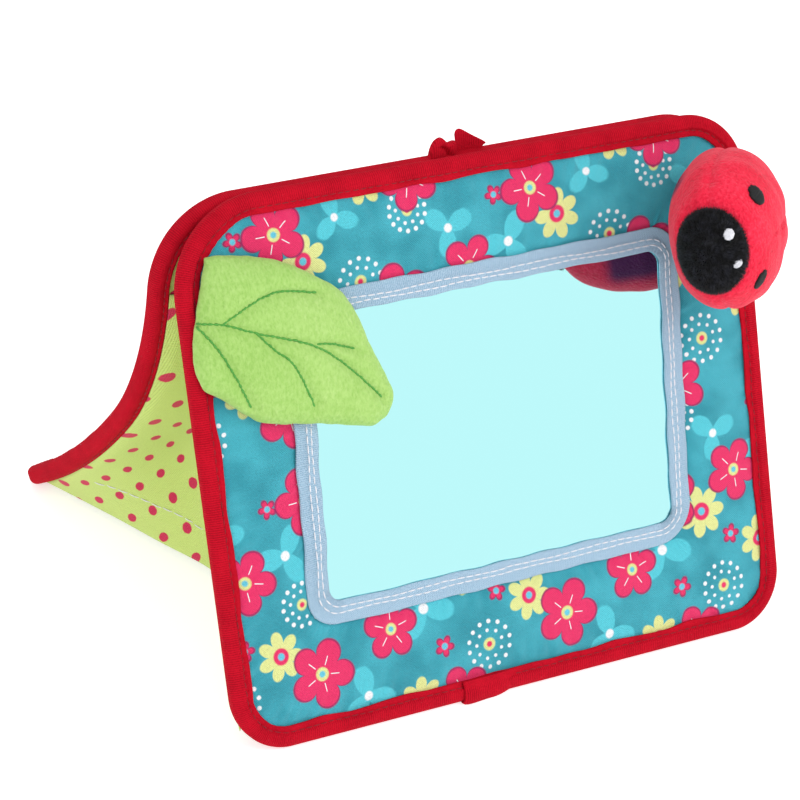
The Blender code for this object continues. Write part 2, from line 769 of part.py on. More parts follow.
def bug_shell(name, bug, round_from, round_to, columns):
    """One panel of the plush cover, from the head's rim to the tail."""
    builder, rows = bmesh.new(), 10
    gap = CLEARANCE / BUG_BACK_DEPTH
    tail = math.pi - 3 * gap
    grids = []
    for lift in (0.0, -BUG_CLOTH):
        grid = []
        for i in range(rows + 1):
            row = []
            for j in range(columns + 1):
                angle = round_from + gap / 2 + (round_to - round_from - gap) * j / columns
                start = bug.rim(angle) + gap
                turn = start + (tail - start) * i / rows
                spread = 1 - math.sin(turn)
                centred = angle
                if turn > math.pi / 2 and spread > 0:
                    middle = (round_from + round_to) / 2
                    narrow = min(0.5, gap * spread)
                    centred = middle + (angle - middle) * (1 - narrow)
                row.append(builder.verts.new(bug.surface(turn, centred, lift)))
            grid.append(row)
        grids.append(grid)
    close_grid(builder, *grids)
    obj = finish_object(name, builder, red_plush())
    shade_round(obj)
    return obj


def bug_rings(builder, bug, last_turn, rows, lift, bulge=0.0):
    """Rings about the head's middle, out to an angle for each direction, with a fan over the first."""
    hub, rings = builder.verts.new(bug.surface(0.0, 0.0, lift + bulge)), []
    for i in range(1, rows + 1):
        ring = []
        for j in range(BUG_COLUMNS):
            angle = 2 * math.pi * j / BUG_COLUMNS
            rise = lift + bulge * (1 - (i / rows) ** 2)
            ring.append(builder.verts.new(bug.surface(last_turn(angle) * i / rows, angle, rise)))
        rings.append(ring)
    for j in range(BUG_COLUMNS):
        builder.faces.new((rings[0][j], rings[0][(j + 1) % BUG_COLUMNS], hub))
    for near, far in zip(rings, rings[1:]):
        join_rings(builder, near, far)
    return rings[-1]


def join_rings(builder, near, far):
    for j, _ in enumerate(near):
        k = (j + 1) % len(near)
        builder.faces.new((near[j], near[k], far[k], far[j]))


def bug_head(bug):
    builder = bmesh.new()
    over = bug_rings(builder, bug, bug.rim, 5, 0.0, BUG_HEAD_BULGE)
    join_rings(builder, over, bug_rings(builder, bug, bug.rim, 5, -BUG_CLOTH))
    shade_round(finish_object("ladybird_head", builder, black_fur()))


def bug_stuffing(bug):
    builder, depth = bmesh.new(), -BUG_CLOTH - BUG_SLACK
    last = bug_rings(builder, bug, lambda angle: math.pi * 12 / 13, 12, depth)
    tail = builder.verts.new(bug.surface(math.pi, 0.0, depth))
    for j in range(BUG_COLUMNS):
        builder.faces.new((last[j], last[(j + 1) % BUG_COLUMNS], tail))
    shade_round(finish_object("ladybird_stuffing", builder, wadding_fleece()))


def patch(builder, bug, turn, round_angle, width, low):
    """A round patch that lies on the cloth."""
    centre = bug.surface(turn, round_angle)
    normal = (bug.surface(turn, round_angle, CLEARANCE) - centre).normalized()
    ahead = (bug.surface(turn + CLEARANCE, round_angle) - centre).normalized()
    ahead = (ahead - normal * ahead.dot(normal)).normalized()
    aside = normal.cross(ahead)
    rings, columns = [], 12
    for lift in (low, low + BUG_PATCH):
        hub = builder.verts.new(on_bug(bug, centre, lift))
        rim = []
        for j in range(columns):
            angle = 2 * math.pi * j / columns
            point = centre + (ahead * math.cos(angle) + aside * math.sin(angle)) * width / 2
            rim.append(builder.verts.new(on_bug(bug, point, lift)))
        for j in range(columns):
            builder.faces.new((rim[j], rim[(j + 1) % columns], hub))
        rings.append(rim)
    for j in range(columns):
        k = (j + 1) % columns
        builder.faces.new((rings[0][j], rings[0][k], rings[1][k], rings[1][j]))


def on_bug(bug, point, lift):
    """Moves a point out from the middle until it is the lift above the body or the head."""
    direction = (point - bug.middle).normalized()
    ahead, back, side = (direction.dot(axis) for axis in (bug.ahead, bug.back, bug.side))
    turn, round_angle = math.acos(max(-1.0, min(1.0, ahead))), math.atan2(side, back)
    share = bug.head_share(turn, round_angle)
    bulge = BUG_HEAD_BULGE * (1 - share ** 2) if share < 1 else 0.0
    return bug.surface(turn, round_angle, lift + bulge)


def build_ladybird():
    bug = Ladybird()
    right_angle = math.pi / 2
    bug_shell("ladybird_shell_left", bug, 0.0, right_angle, 6)
    bug_shell("ladybird_shell_right", bug, -right_angle, 0.0, 6)
    bug_shell("ladybird_belly", bug, right_angle, 3 * right_angle, 10)
    bug_stuffing(bug)
    bug_head(bug)
    for name, side in (("ladybird_eye_left", 1), ("ladybird_eye_right", -1)):
        builder = bmesh.new()
        reach = BUG_LENGTH / 2
        turn = math.atan(math.hypot(BUG_EYE_RISE, BUG_EYE_SPREAD / 2) / reach)
        angle = side * math.atan2(BUG_EYE_SPREAD / 2, BUG_EYE_RISE)
        patch(builder, bug, turn, angle, BUG_EYE_WIDTH, CLEARANCE)
        finish_object(name, builder, white_thread())
    for place, (turn, angle) in (("front", BUG_SPOT_FRONT), ("rear", BUG_SPOT_REAR)):
        for name, side in (("left", 1), ("right", -1)):
            builder = bmesh.new()
            patch(builder, bug, turn, side * angle, BUG_SPOT_WIDTH, CLEARANCE)
            finish_object(f"ladybird_spot_{place}_{name}", builder, black_fur())
    return bug


def main():
    for obj in list(bpy.data.objects):
        bpy.data.objects.remove(obj)
    build_front_panel()
    webbing_top = build_mirror()
    build_back_panel()
    build_gusset("gusset_left", -1)
    build_gusset("gusset_right", 1)
    build_spare_tape()
    build_leaf(webbing_top + CLEARANCE)
    bug = build_ladybird()
    fold = BACK.pivot
    flex = BACK.place(0.0, FLEX_DOWN, -TAPE_OUT)
    print("fold axis", tuple(round(c, 6) for c in fold))
    print("fold range", round(math.degrees(FRONT_LEAN - BACK.lean), 3))
    print("flex axis", tuple(round(c, 6) for c in flex))
    print("flex range", round(math.degrees(BACK_BEND), 3))
    foot = BACK.place(0, BACK_LENGTH - BINDING_ROUND, ROUND_DEPTH)
    print("back foot", tuple(round(c, 5) for c in foot))
    print("gusset crease", tuple(round(c, 5) for c in Gusset(-1).point(0.5, Gusset(-1).last)))
    print("ladybird middle", tuple(round(c, 5) for c in bug.middle))
    print("ladybird contact", tuple(round(c, 5) for c in bug.contact))
    leaf = FRONT.place(-PANEL_WIDTH / 2 + LEAF_ROOT_INSET, 0.05, webbing_top)
    print("leaf root", tuple(round(c, 5) for c in leaf))


main()
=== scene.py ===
import math

import bmesh
import bpy
import numpy as np
from mathutils import Matrix, Vector
from mathutils.bvhtree import BVHTree


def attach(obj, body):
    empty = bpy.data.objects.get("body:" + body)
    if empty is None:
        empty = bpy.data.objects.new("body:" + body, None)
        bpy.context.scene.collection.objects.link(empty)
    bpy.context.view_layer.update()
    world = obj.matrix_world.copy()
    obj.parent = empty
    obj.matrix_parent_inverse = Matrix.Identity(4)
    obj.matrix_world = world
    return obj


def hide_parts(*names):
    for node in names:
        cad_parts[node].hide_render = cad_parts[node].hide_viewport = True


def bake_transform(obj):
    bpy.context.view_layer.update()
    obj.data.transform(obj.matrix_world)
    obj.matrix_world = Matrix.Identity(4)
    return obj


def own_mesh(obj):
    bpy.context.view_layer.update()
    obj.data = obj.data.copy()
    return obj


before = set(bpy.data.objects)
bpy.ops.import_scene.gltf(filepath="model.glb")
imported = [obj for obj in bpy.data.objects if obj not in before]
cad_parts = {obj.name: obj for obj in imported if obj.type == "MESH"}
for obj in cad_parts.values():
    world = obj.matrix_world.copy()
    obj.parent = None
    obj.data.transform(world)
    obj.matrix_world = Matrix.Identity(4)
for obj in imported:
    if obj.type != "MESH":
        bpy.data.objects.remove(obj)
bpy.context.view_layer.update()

# Lengths are in metres unless a name says mm. A place on either panel is (x, v, m):
# x across, v up the cloth from its foot, m out from the lining's face towards the cover.
# A panel's corner radii go from low right round to low left.

front = {"width": 0.245, "height": 0.205, "radii": (0.022, 0.026, 0.036, 0.022), "lean": 27.3}
back = {"width": 0.251, "height": 0.2098, "radii": (0.009, 0.033, 0.033, 0.009), "lean": 11.521,
        "drop": 0.002, "straight": 0.020, "bend": 45.5, "bendRadius": 0.1095, "flareRadius": 0.334}
layers = {"depth": 0.0052, "gap": 0.0003, "tape": 0.0008, "edgeRound": 0.0032, "footCut": 0.0005}
tapeOut = layers["gap"] + layers["tape"]
roundDepth = layers["edgeRound"] - tapeOut
acrossAxis = np.array([1.0, 0.0, 0.0])


def rgb(red, green, blue):
    values = [c / 255 for c in (red, green, blue)]
    return tuple(c / 12.92 if c < 0.04045 else ((c + 0.055) / 1.055) ** 2.4 for c in values) + (1.0,)


# Camera, at the photograph's place

cameraSetup = {"azimuth": 34.269, "elevation": 34.321, "roll": 8.977, "distance": 1.335972,
               "right": -0.045448, "rise": 0.109313, "shift": (-0.0012, -0.0042, 0.0013), "lens": 157.5}


def makeCamera(setup):
    azimuth, elevation, roll = (math.radians(setup[k]) for k in ("azimuth", "elevation", "roll"))
    away = Vector((-math.sin(azimuth) * math.cos(elevation), -math.cos(azimuth) * math.cos(elevation),
                   math.sin(elevation)))
    level = Vector((0, 0, 1)).cross(away).normalized()
    upright = away.cross(level)
    right = level * math.cos(roll) + upright * math.sin(roll)
    up = upright * math.cos(roll) - level * math.sin(roll)
    place = right * setup["right"] + up * setup["rise"] + away * setup["distance"] + Vector(setup["shift"])
    data = bpy.data.cameras.new("camera")
    data.sensor_width, data.lens = 36.0, setup["lens"]
    data.clip_start, data.clip_end = 0.05, 30.0
    camera = bpy.data.objects.new("camera", data)
    camera.matrix_world = Matrix([(*row, place[i]) for i, row in enumerate(zip(right, up, away))] + [(0, 0, 0, 1)])
    bpy.context.scene.collection.objects.link(camera)
    bpy.context.scene.camera = camera


makeCamera(cameraSetup)
print("camera placed")


# Places on the two panels

def leanPair(lean):
    return math.sin(lean), math.cos(lean)


frontSin, frontCos = leanPair(math.radians(front["lean"]))
frontUp = np.array([0.0, frontSin, frontCos])
frontOut = np.array([0.0, -frontCos, frontSin])
footCorner = frontUp * layers["edgeRound"] + frontOut * (roundDepth - layers["depth"])
frontFoot = np.array([0.0, -footCorner[1], layers["edgeRound"] - footCorner[2] - layers["footCut"]])
spread = {"left": 0.12, "right": 0.066, "middle": 0.1}


def onFlat(x, v, m):
    x, v, m = np.broadcast_arrays(*(np.asarray(a, float) for a in (x, v, m)))
    rise = np.multiply.outer(v, frontUp) + np.multiply.outer(m - layers["depth"], frontOut)
    return frontFoot + rise + np.multiply.outer(x, acrossAxis)


def onFront(x, v, m):
    # the sides draw together a little towards the foot
    x, v = np.asarray(x, float), np.asarray(v, float)
    return onFlat(x * (1 + np.where(x < 0, spread["left"], spread["right"]) * (v - spread["middle"])), v, m)


backLean, backBend = math.radians(back["lean"]), math.radians(back["bend"])
backSin, backCos = leanPair(backLean)
pivot = frontFoot + frontUp * (front["height"] - layers["edgeRound"]) + frontOut * (roundDepth - layers["depth"])
backOutward, backDown = np.array([0.0, backCos, -backSin]), np.array([0.0, -backSin, -backCos])
backStart = (pivot + backOutward * (2 * layers["edgeRound"] + layers["gap"] - roundDepth + layers["depth"] / 2)
             - backDown * (layers["edgeRound"] - back["drop"]))
backLength = back["height"]


def backLine(v):
    down = backLength - np.asarray(v, float)
    straight = np.minimum(down, back["straight"])
    bent = np.clip((down - back["straight"]) / back["bendRadius"], 0, backBend)
    flared = np.maximum(down - back["straight"] - backBend * back["bendRadius"], 0) / back["flareRadius"]
    first, last = backLean - bent, backLean - bent - flared
    y = back["bendRadius"] * (np.cos(backLean) - np.cos(first)) + back["flareRadius"] * (np.cos(first) - np.cos(last))
    z = back["bendRadius"] * (np.sin(first) - np.sin(backLean)) + back["flareRadius"] * (np.sin(last) - np.sin(first))
    return backStart[1] + backDown[1] * straight + y, backStart[2] + backDown[2] * straight + z, last


def onBack(x, v, m):
    x, v, m = np.broadcast_arrays(*(np.asarray(a, float) for a in (x, v, m)))
    y, z, lean = backLine(v)
    out = m - layers["depth"] / 2
    return np.stack([x, y + np.cos(lean) * out, z - np.sin(lean) * out], -1)


# Outlines

def roundedLoop(box, radii, counts):
    left, right, low, high = box
    a, b, c, d = radii
    across, corner, up = counts
    arcs = ((right - a, low + a, a, -90), (right - b, high - b, b, 0), (left + c, high - c, c, 90),
            (left + d, low + d, d, 180))
    turned = []
    for x, v, radius, start in arcs:
        angle = np.radians(start + 90 * np.arange(corner + 1) / corner)
        turned.append(np.stack([x + radius * np.cos(angle), v + radius * np.sin(angle)], 1))
    points = []
    for number, arc in enumerate(turned):
        ahead = turned[(number + 1) % 4][0]
        steps = (up, across)[number % 2]
        line = arc[-1] + (ahead - arc[-1]) * (np.arange(steps) / steps)[:, None]
        points += [arc[:-1], line]
    return np.roll(np.concatenate(points), across // 2, axis=0)


class Outline:
    # a panel's outline at any inset, always with the same number of points
    def __init__(self, shape, place, step=0.0009):
        self.shape, self.place = shape, place
        self.counts = (2 * round(shape["width"] / step / 2), round(max(shape["radii"]) * 1.4 / step),
                       round(shape["height"] / step))
        self.size = 2 * self.counts[0] + 4 * self.counts[1] + 2 * self.counts[2]
        self.lengths = pathLengths(self.loop(0.0), True)

    def loop(self, inset):
        half = self.shape["width"] / 2 - inset
        radii = [radius - inset for radius in self.shape["radii"]]
        return roundedLoop((-half, half, inset, self.shape["height"] - inset), radii, self.counts)


def pathLengths(points, closed=False):
    if closed:
        points = np.concatenate([points, points[:1]])
    return np.concatenate([[0.0], np.cumsum(np.linalg.norm(np.diff(points, axis=0), axis=1))])


def smoothPath(points, steps, closed=False):
    # a Catmull-Rom curve through the points
    points = np.asarray(points, float)
    if closed:
        points = np.concatenate([points[-1:], points, points[:2]])
    else:
        points = np.concatenate([[2 * points[0] - points[1]], points, [2 * points[-1] - points[-2]]])
    t = (np.arange(steps) / steps)[:, None]
    pieces = []
    for a, b, c, d in zip(points, points[1:], points[2:], points[3:]):
        bow, twist = 2 * a - 5 * b + 4 * c - d, 3 * b - a - 3 * c + d
        pieces.append((2 * b + (c - a) * t + bow * t ** 2 + twist * t ** 3) / 2)
    if not closed:
        pieces.append(points[-2:-1])
    return np.concatenate(pieces)


def ripple(length, total, wave, seed, count=7):
    # uneven waves of about one either way, which meet again at the total length
    draw = np.random.default_rng(seed)
    height = np.zeros_like(length)
    for _ in range(count):
        turns = max(1, round(total / (wave * draw.uniform(0.6, 1.7))))
        height += draw.uniform(0.5, 1.0) * np.sin(2 * math.pi * turns * length / total + draw.uniform(0, 6.28))
    return height / math.sqrt(count) * 1.3


def evenWaves(length, total, pitch):
    # regular waves that meet again at the total length
    return np.sin(2 * math.pi * round(total / pitch) * length / total)


def lumps(x, v, wave, seed, count=9):
    # soft uneven waves over a surface
    draw = np.random.default_rng(seed)
    height = np.zeros_like(x)
    for _ in range(count):
        heading, size = draw.uniform(0, math.pi), wave * draw.uniform(0.6, 1.8)
        along = x * math.cos(heading) + v * math.sin(heading)
        height += draw.uniform(0.5, 1.0) * np.sin(2 * math.pi * along / size + draw.uniform(0, 6.28))
    return height / math.sqrt(count)


def bell(distance, width):
    return np.exp(-(distance / width) ** 2)


def unit(vectors):
    return vectors / np.linalg.norm(vectors, axis=-1, keepdims=True)


def eased(share):
    # from 0 to 1 with a soft start and end
    return share * share * (3 - 2 * share)


def twoSkins(over, under):
    # the two faces of a cloth side by side, joined at its rim
    return np.concatenate([over[:, ::-1], under], 1)


def distanceToPath(points, path):
    least = np.full(points.shape[:-1], 1e9)
    for a, b in zip(path, path[1:]):
        edge = b - a
        share = np.clip(((points - a) @ edge) / (edge @ edge), 0, 1)
        least = np.minimum(least, np.linalg.norm(points - a - share[..., None] * edge, axis=-1))
    return least


# Meshes

def makeBody(name, points, cloth, materials, slots=None, closeRows=False, closeColumns=False, caps=None):
    # a grid of points as a mesh, with its cloth coordinates in centimetres
    rows, columns = points.shape[:2]
    r, c = np.meshgrid(np.arange(rows - (not closeRows)), np.arange(columns - (not closeColumns)), indexing="ij")
    steps = ((0, 0), (1, 0), (1, 1), (0, 1))
    quads = np.stack([(r + i) % rows * columns + (c + j) % columns for i, j in steps], -1).reshape(-1, 4)
    marks = np.stack([cloth[(r + i) % cloth.shape[0], (c + j) % cloth.shape[1]] for i, j in steps], 2).reshape(-1, 2)
    faces, vertices = quads.tolist(), points.reshape(-1, 3)
    marks = [marks]
    slotList = [] if slots is None else np.asarray(slots)[r, c].ravel().tolist()
    if caps == "centres":
        for column in (0, columns - 1):
            centre = len(vertices)
            vertices = np.concatenate([vertices, points[:, column].mean(0)[None]])
            middle = cloth[:, column].mean(0)
            for i in range(rows):
                faces.append([i * columns + column, (i + 1) % rows * columns + column, centre])
                marks.append(np.stack([cloth[i, column], cloth[(i + 1) % cloth.shape[0], column], middle]))
                slotList += [] if slots is None else [slots[i][min(column, len(slots[i]) - 1)]]
    if caps == "ends":
        for row in (0, rows - 1):
            for j in range(columns // 2 - 1):
                pair = [j, j + 1, columns - 2 - j, columns - 1 - j]
                faces.append([row * columns + k for k in pair])
                marks.append(np.stack([cloth[row, k] for k in pair]))
                slotList += [] if slots is None else [slots[0][j]]
    mesh = bpy.data.meshes.new(name)
    mesh.from_pydata(vertices.tolist(), [], faces)
    layer = mesh.uv_layers.new(name="cloth")
    layer.data.foreach_set("uv", (np.concatenate(marks) * 100).astype(np.float32).ravel())
    for material in materials:
        mesh.materials.append(material)
    if slotList:
        mesh.polygons.foreach_set("material_index", np.array(slotList, np.int32))
    return linkPiece(name, mesh)


def linkPiece(name, mesh):
    builder = bmesh.new()
    builder.from_mesh(mesh)
    bmesh.ops.recalc_face_normals(builder, faces=builder.faces[:])
    builder.to_mesh(mesh)
    builder.free()
    mesh.shade_smooth()
    piece = bpy.data.objects.new(name, mesh)
    bpy.context.scene.collection.objects.link(piece)
    return piece


def readPoints(piece):
    points = np.zeros(len(piece.data.vertices) * 3)
    piece.data.vertices.foreach_get("co", points)
    return points.reshape(-1, 3)


def writePoints(piece, points):
    piece.data.vertices.foreach_set("co", points.astype(np.float32).ravel())
    piece.data.update()


def surfaceOf(piece):
    return BVHTree.FromPolygons([v.co for v in piece.data.vertices], [p.vertices for p in piece.data.polygons])


def settle(surface, points, normals, reach=0.02):
    # moves points along their normals onto a surface
    landed, facing = points.copy(), normals.copy()
    for i, (point, normal) in enumerate(zip(points, normals)):
        hit, face, _, _ = surface.ray_cast(Vector(point + normal * reach), Vector(-normal), reach * 2)
        if hit is not None:
            landed[i] = hit
            facing[i] = face if face.dot(Vector(normal)) > 0 else -face
    return landed, facing


def offPlace(place, x, v, m):
    # points on a panel and the directions out of its cover there
    near, far = place(x, v, m), place(x, v, m + 0.001)
    return near, unit(far - near)


def stitchRow(name, points, normals, setup, material, closed=False):
    # single stitches along a line of points, each one dipping into the cloth at both ends
    if closed:
        points, normals = np.concatenate([points, points[:1]]), np.concatenate([normals, normals[:1]])
    lengths = pathLengths(points)
    count = max(2, round(lengths[-1] / setup["pitch"]))
    draw = np.random.default_rng(setup.get("seed", 1))
    rings, sides = 7, 6
    share = np.linspace(0, 1, rings)
    start = (np.arange(count) + 0.5)[:, None] * lengths[-1] / count
    span = setup["length"] * (1 + draw.uniform(-0.08, 0.08, count))[:, None]
    along = start + (share[None] - 0.5) * span

    def read(values):
        return np.stack([np.interp(along, lengths, values[:, k]) for k in range(3)], -1)

    middle, up = read(points), unit(read(normals))
    ahead = np.broadcast_to(unit(middle[:, -1:] - middle[:, :1]), middle.shape)
    aside = np.cross(ahead, up)
    slant = draw.uniform(-1, 1, count)[:, None, None] * setup.get("wander", 0.00012)
    slant = slant + setup.get("slant", 0.0) * (share[None, :, None] - 0.5) * 2
    hump = np.sin(math.pi * share)[None, :, None]
    middle = middle + up * (hump * setup["rise"] - setup["sink"]) + aside * slant
    thick = setup["thread"] / 2 * (0.35 + 0.65 * np.sin(math.pi * np.clip(share, 0.04, 0.96)) ** 0.5)
    angle = 2 * math.pi * np.arange(sides) / sides
    spokes = aside[:, :, None] * np.cos(angle)[:, None] + up[:, :, None] * np.sin(angle)[:, None]
    grid = middle[:, :, None] + spokes * thick[None, :, None, None]
    vertices = grid.reshape(-1, 3)
    faces = []
    for i in range(rings - 1):
        for j in range(sides):
            k = (j + 1) % sides
            faces.append((i * sides + j, (i + 1) * sides + j, (i + 1) * sides + k, i * sides + k))
    one = np.array(faces)
    every = (one[None] + (np.arange(count) * rings * sides)[:, None, None]).reshape(-1, 4).tolist()
    ends = [list(range(sides))[::-1], list(range((rings - 1) * sides, rings * sides))]
    every += [[k + n * rings * sides for k in end] for n in range(count) for end in ends]
    mesh = bpy.data.meshes.new(name)
    mesh.from_pydata(vertices.tolist(), [], every)
    mesh.materials.append(material)
    return linkPiece(name, mesh)


clothSetup = {"frames": 20, "stiff": 15.0, "bend": 0.5, "mass": 0.15, "damping": 2.0, "quality": 6}


def puff(piece, held, pressure, most):
    # blows a piece up as cloth, with its held points fixed, and keeps each point within reach
    rest = readPoints(piece)
    copy = bpy.data.objects.new(piece.name + "Trial", piece.data.copy())
    bpy.context.scene.collection.objects.link(copy)
    group = copy.vertex_groups.new(name="held")
    for level in np.unique(np.round(held, 2)):
        if level > 0:
            group.add(np.flatnonzero(np.round(held, 2) == level).tolist(), float(level), "REPLACE")
    cloth = copy.modifiers.new("cloth", "CLOTH")
    cloth.settings.quality = clothSetup["quality"]
    cloth.settings.mass = clothSetup["mass"]
    cloth.settings.tension_stiffness = cloth.settings.compression_stiffness = clothSetup["stiff"]
    cloth.settings.shear_stiffness = clothSetup["stiff"] / 2
    cloth.settings.bending_stiffness = clothSetup["bend"]
    cloth.settings.air_damping = clothSetup["damping"]
    cloth.settings.use_pressure = True
    cloth.settings.uniform_pressure_force = pressure
    cloth.settings.effector_weights.gravity = 0.0
    cloth.settings.vertex_group_mass = "held"
    cloth.point_cache.frame_start, cloth.point_cache.frame_end = 1, clothSetup["frames"]
    for number in range(1, clothSetup["frames"] + 1):
        bpy.context.scene.frame_set(number)
    shaped = copy.evaluated_get(bpy.context.evaluated_depsgraph_get())
    found = np.zeros(len(rest) * 3)
    shaped.data.vertices.foreach_get("co", found)
    moved = found.reshape(-1, 3) - rest
    bpy.data.objects.remove(copy)
    bpy.context.scene.frame_set(1)
    reach = np.linalg.norm(moved, axis=1, keepdims=True)
    moved = np.nan_to_num(moved) * np.minimum(1.0, most / np.maximum(reach, 1e-9))
    writePoints(piece, rest + moved)
    print(piece.name, "blown up by", round(float(np.abs(reach).max()) * 1000, 2), "mm at most")


# Shaders

class Wire:
    # a value in a material: maths on it adds Math nodes
    def __init__(self, bench, socket):
        self.bench, self.socket = bench, socket

    def maths(self, operation, *values):
        return self.bench.node("ShaderNodeMath", {"operation": operation}, values)

    def __add__(self, other):
        return self.maths("ADD", self, other)

    def __sub__(self, other):
        return self.maths("SUBTRACT", self, other)

    def __rsub__(self, other):
        return self.maths("SUBTRACT", other, self)

    def __mul__(self, other):
        return self.maths("MULTIPLY", self, other)

    def __truediv__(self, other):
        return self.maths("DIVIDE", self, other)

    def __rtruediv__(self, other):
        return self.maths("DIVIDE", other, self)

    def __pow__(self, other):
        return self.maths("POWER", self, other)

    def __lt__(self, other):
        return self.maths("LESS_THAN", self, other)

    def __gt__(self, other):
        return self.maths("GREATER_THAN", self, other)

    __radd__, __rmul__ = __add__, __mul__

    def sine(self):
        return self.maths("SINE", self)

    def cosine(self):
        return self.maths("COSINE", self)

    def size(self):
        return self.maths("ABSOLUTE", self)

    def whole(self):
        return self.maths("ROUND", self)

    def part(self):
        return self.maths("FRACT", self)

    def least(self, other):
        return self.maths("MINIMUM", self, other)

    def most(self, other):
        return self.maths("MAXIMUM", self, other)


class Bench:
    # one material and the tools to wire it
    def __init__(self, name, **constants):
        self.material = bpy.data.materials.new(name)
        self.material.use_nodes = True
        self.tree = self.material.node_tree
        self.shader = self.tree.nodes["Principled BSDF"]
        for socket, value in constants.items():
            self.shader.inputs[socket.replace("_", " ")].default_value = value

    def node(self, kind, settings=None, values=(), out=0):
        made = self.tree.nodes.new(kind)
        for key, value in (settings or {}).items():
            if key == "stops":
                ramp = made.color_ramp.elements
                while len(ramp) < len(value):
                    ramp.new(0.5)
                for stop, (place, colour) in zip(ramp, value):
                    stop.position, stop.color = place, colour
            else:
                setattr(made, key, value)
        pairs = values.items() if isinstance(values, dict) else enumerate(values)
        for key, value in pairs:
            if isinstance(value, Wire):
                self.tree.links.new(value.socket, made.inputs[key])
            elif value is not None:
                made.inputs[key].default_value = value
        return Wire(self, made.outputs[out])

    def feed(self, socket, wire):
        self.tree.links.new(wire.socket, self.shader.inputs[socket])

    def clothPlace(self):
        # x and y on the cloth, in millimetres
        place = self.node("ShaderNodeUVMap", {"uv_map": "cloth"})
        split = self.node("ShaderNodeSeparateXYZ", None, [place])
        other = Wire(self, split.socket.node.outputs[1])
        return split * 10.0, other * 10.0

    def vector(self, x, y, z=0.0):
        return self.node("ShaderNodeCombineXYZ", None, [x, y, z])

    def noise(self, place, scale, detail=2.0, rough=0.5):
        values = {"Vector": place, "Scale": scale, "Detail": detail, "Roughness": rough}
        return self.node("ShaderNodeTexNoise", None, values)

    def solid(self):
        return self.node("ShaderNodeTexCoord", out="Object")

    def blendStep(self, value, low, high):
        values = {"Value": value, "From Min": low, "From Max": high}
        return self.node("ShaderNodeMapRange", {"interpolation_type": "SMOOTHSTEP"}, values)

    def mix(self, share, first, second):
        return self.node("ShaderNodeMix", {"data_type": "RGBA"}, {0: share, 6: first, 7: second}, out=2)

    def tint(self, colour, amount):
        # scales a colour by a value
        return self.node("ShaderNodeVectorMath", {"operation": "SCALE"}, {0: colour, "Scale": amount})

    def bump(self, height, distance, strength=1.0):
        values = {"Height": height, "Distance": distance, "Strength": strength}
        self.feed("Normal", self.node("ShaderNodeBump", None, values))


def polar(x, y, spot, tile):
    # distance and angle from a spot that repeats with the tile
    across = (x - spot[0]) / tile[0]
    rise = (y - spot[1]) / tile[1]
    across = (across - across.whole()) * tile[0]
    rise = (rise - rise.whole()) * tile[1]
    distance = (across * across + rise * rise) ** 0.5
    return distance, rise.maths("ARCTAN2", rise, across)


printSetup = {
    "tile": (94.0, 86.0), "edge": 0.35,
    "ground": rgb(38, 140, 156), "groundLight": rgb(62, 168, 184), "aqua": rgb(78, 192, 206),
    "magenta": rgb(222, 38, 96), "magentaDark": rgb(150, 30, 88), "cream": rgb(216, 220, 142),
    "white": rgb(234, 234, 236), "blueDot": rgb(96, 192, 214),
    "sprigs": ((12, 62, 10, 0.5), (60, 34, 11, 2.2), (84, 70, 9, 4.0), (36, 10, 10, 1.2), (44, 80, 8, 3.3)),
    "daisies": ((31, 68, 8.6, 0.2), (77, 44, 9.0, 0.9), (6, 30, 8.2, 0.5), (56, 4, 8.0, 0.1)),
    "rings": ((51, 58, 7.6, 0.0), (16, 45, 7.0, 0.3), (83, 17, 7.8, 0.1), (70, 78, 6.6, 0.2)),
    "blossoms": ((22, 78, 11.5, 0.3), (64, 50, 12.4, 1.0), (20, 21, 12.0, 0.7), (91, 56, 11.0, 0.1),
                 (47, 30, 10.4, 0.5), (72, 2, 10.8, 0.9)),
    "buds": ((37, 47, 3.6, 0.4), (66, 20, 3.8, 0.1), (8, 78, 3.4, 0.9), (88, 34, 3.6, 0.6)),
}


def petals(angle, count, turn, waist, fullness):
    # how far a flower reaches at an angle, as a share of its size
    return ((angle * (count / 2) + turn * count).cosine().size() ** fullness) * (1 - waist) + waist


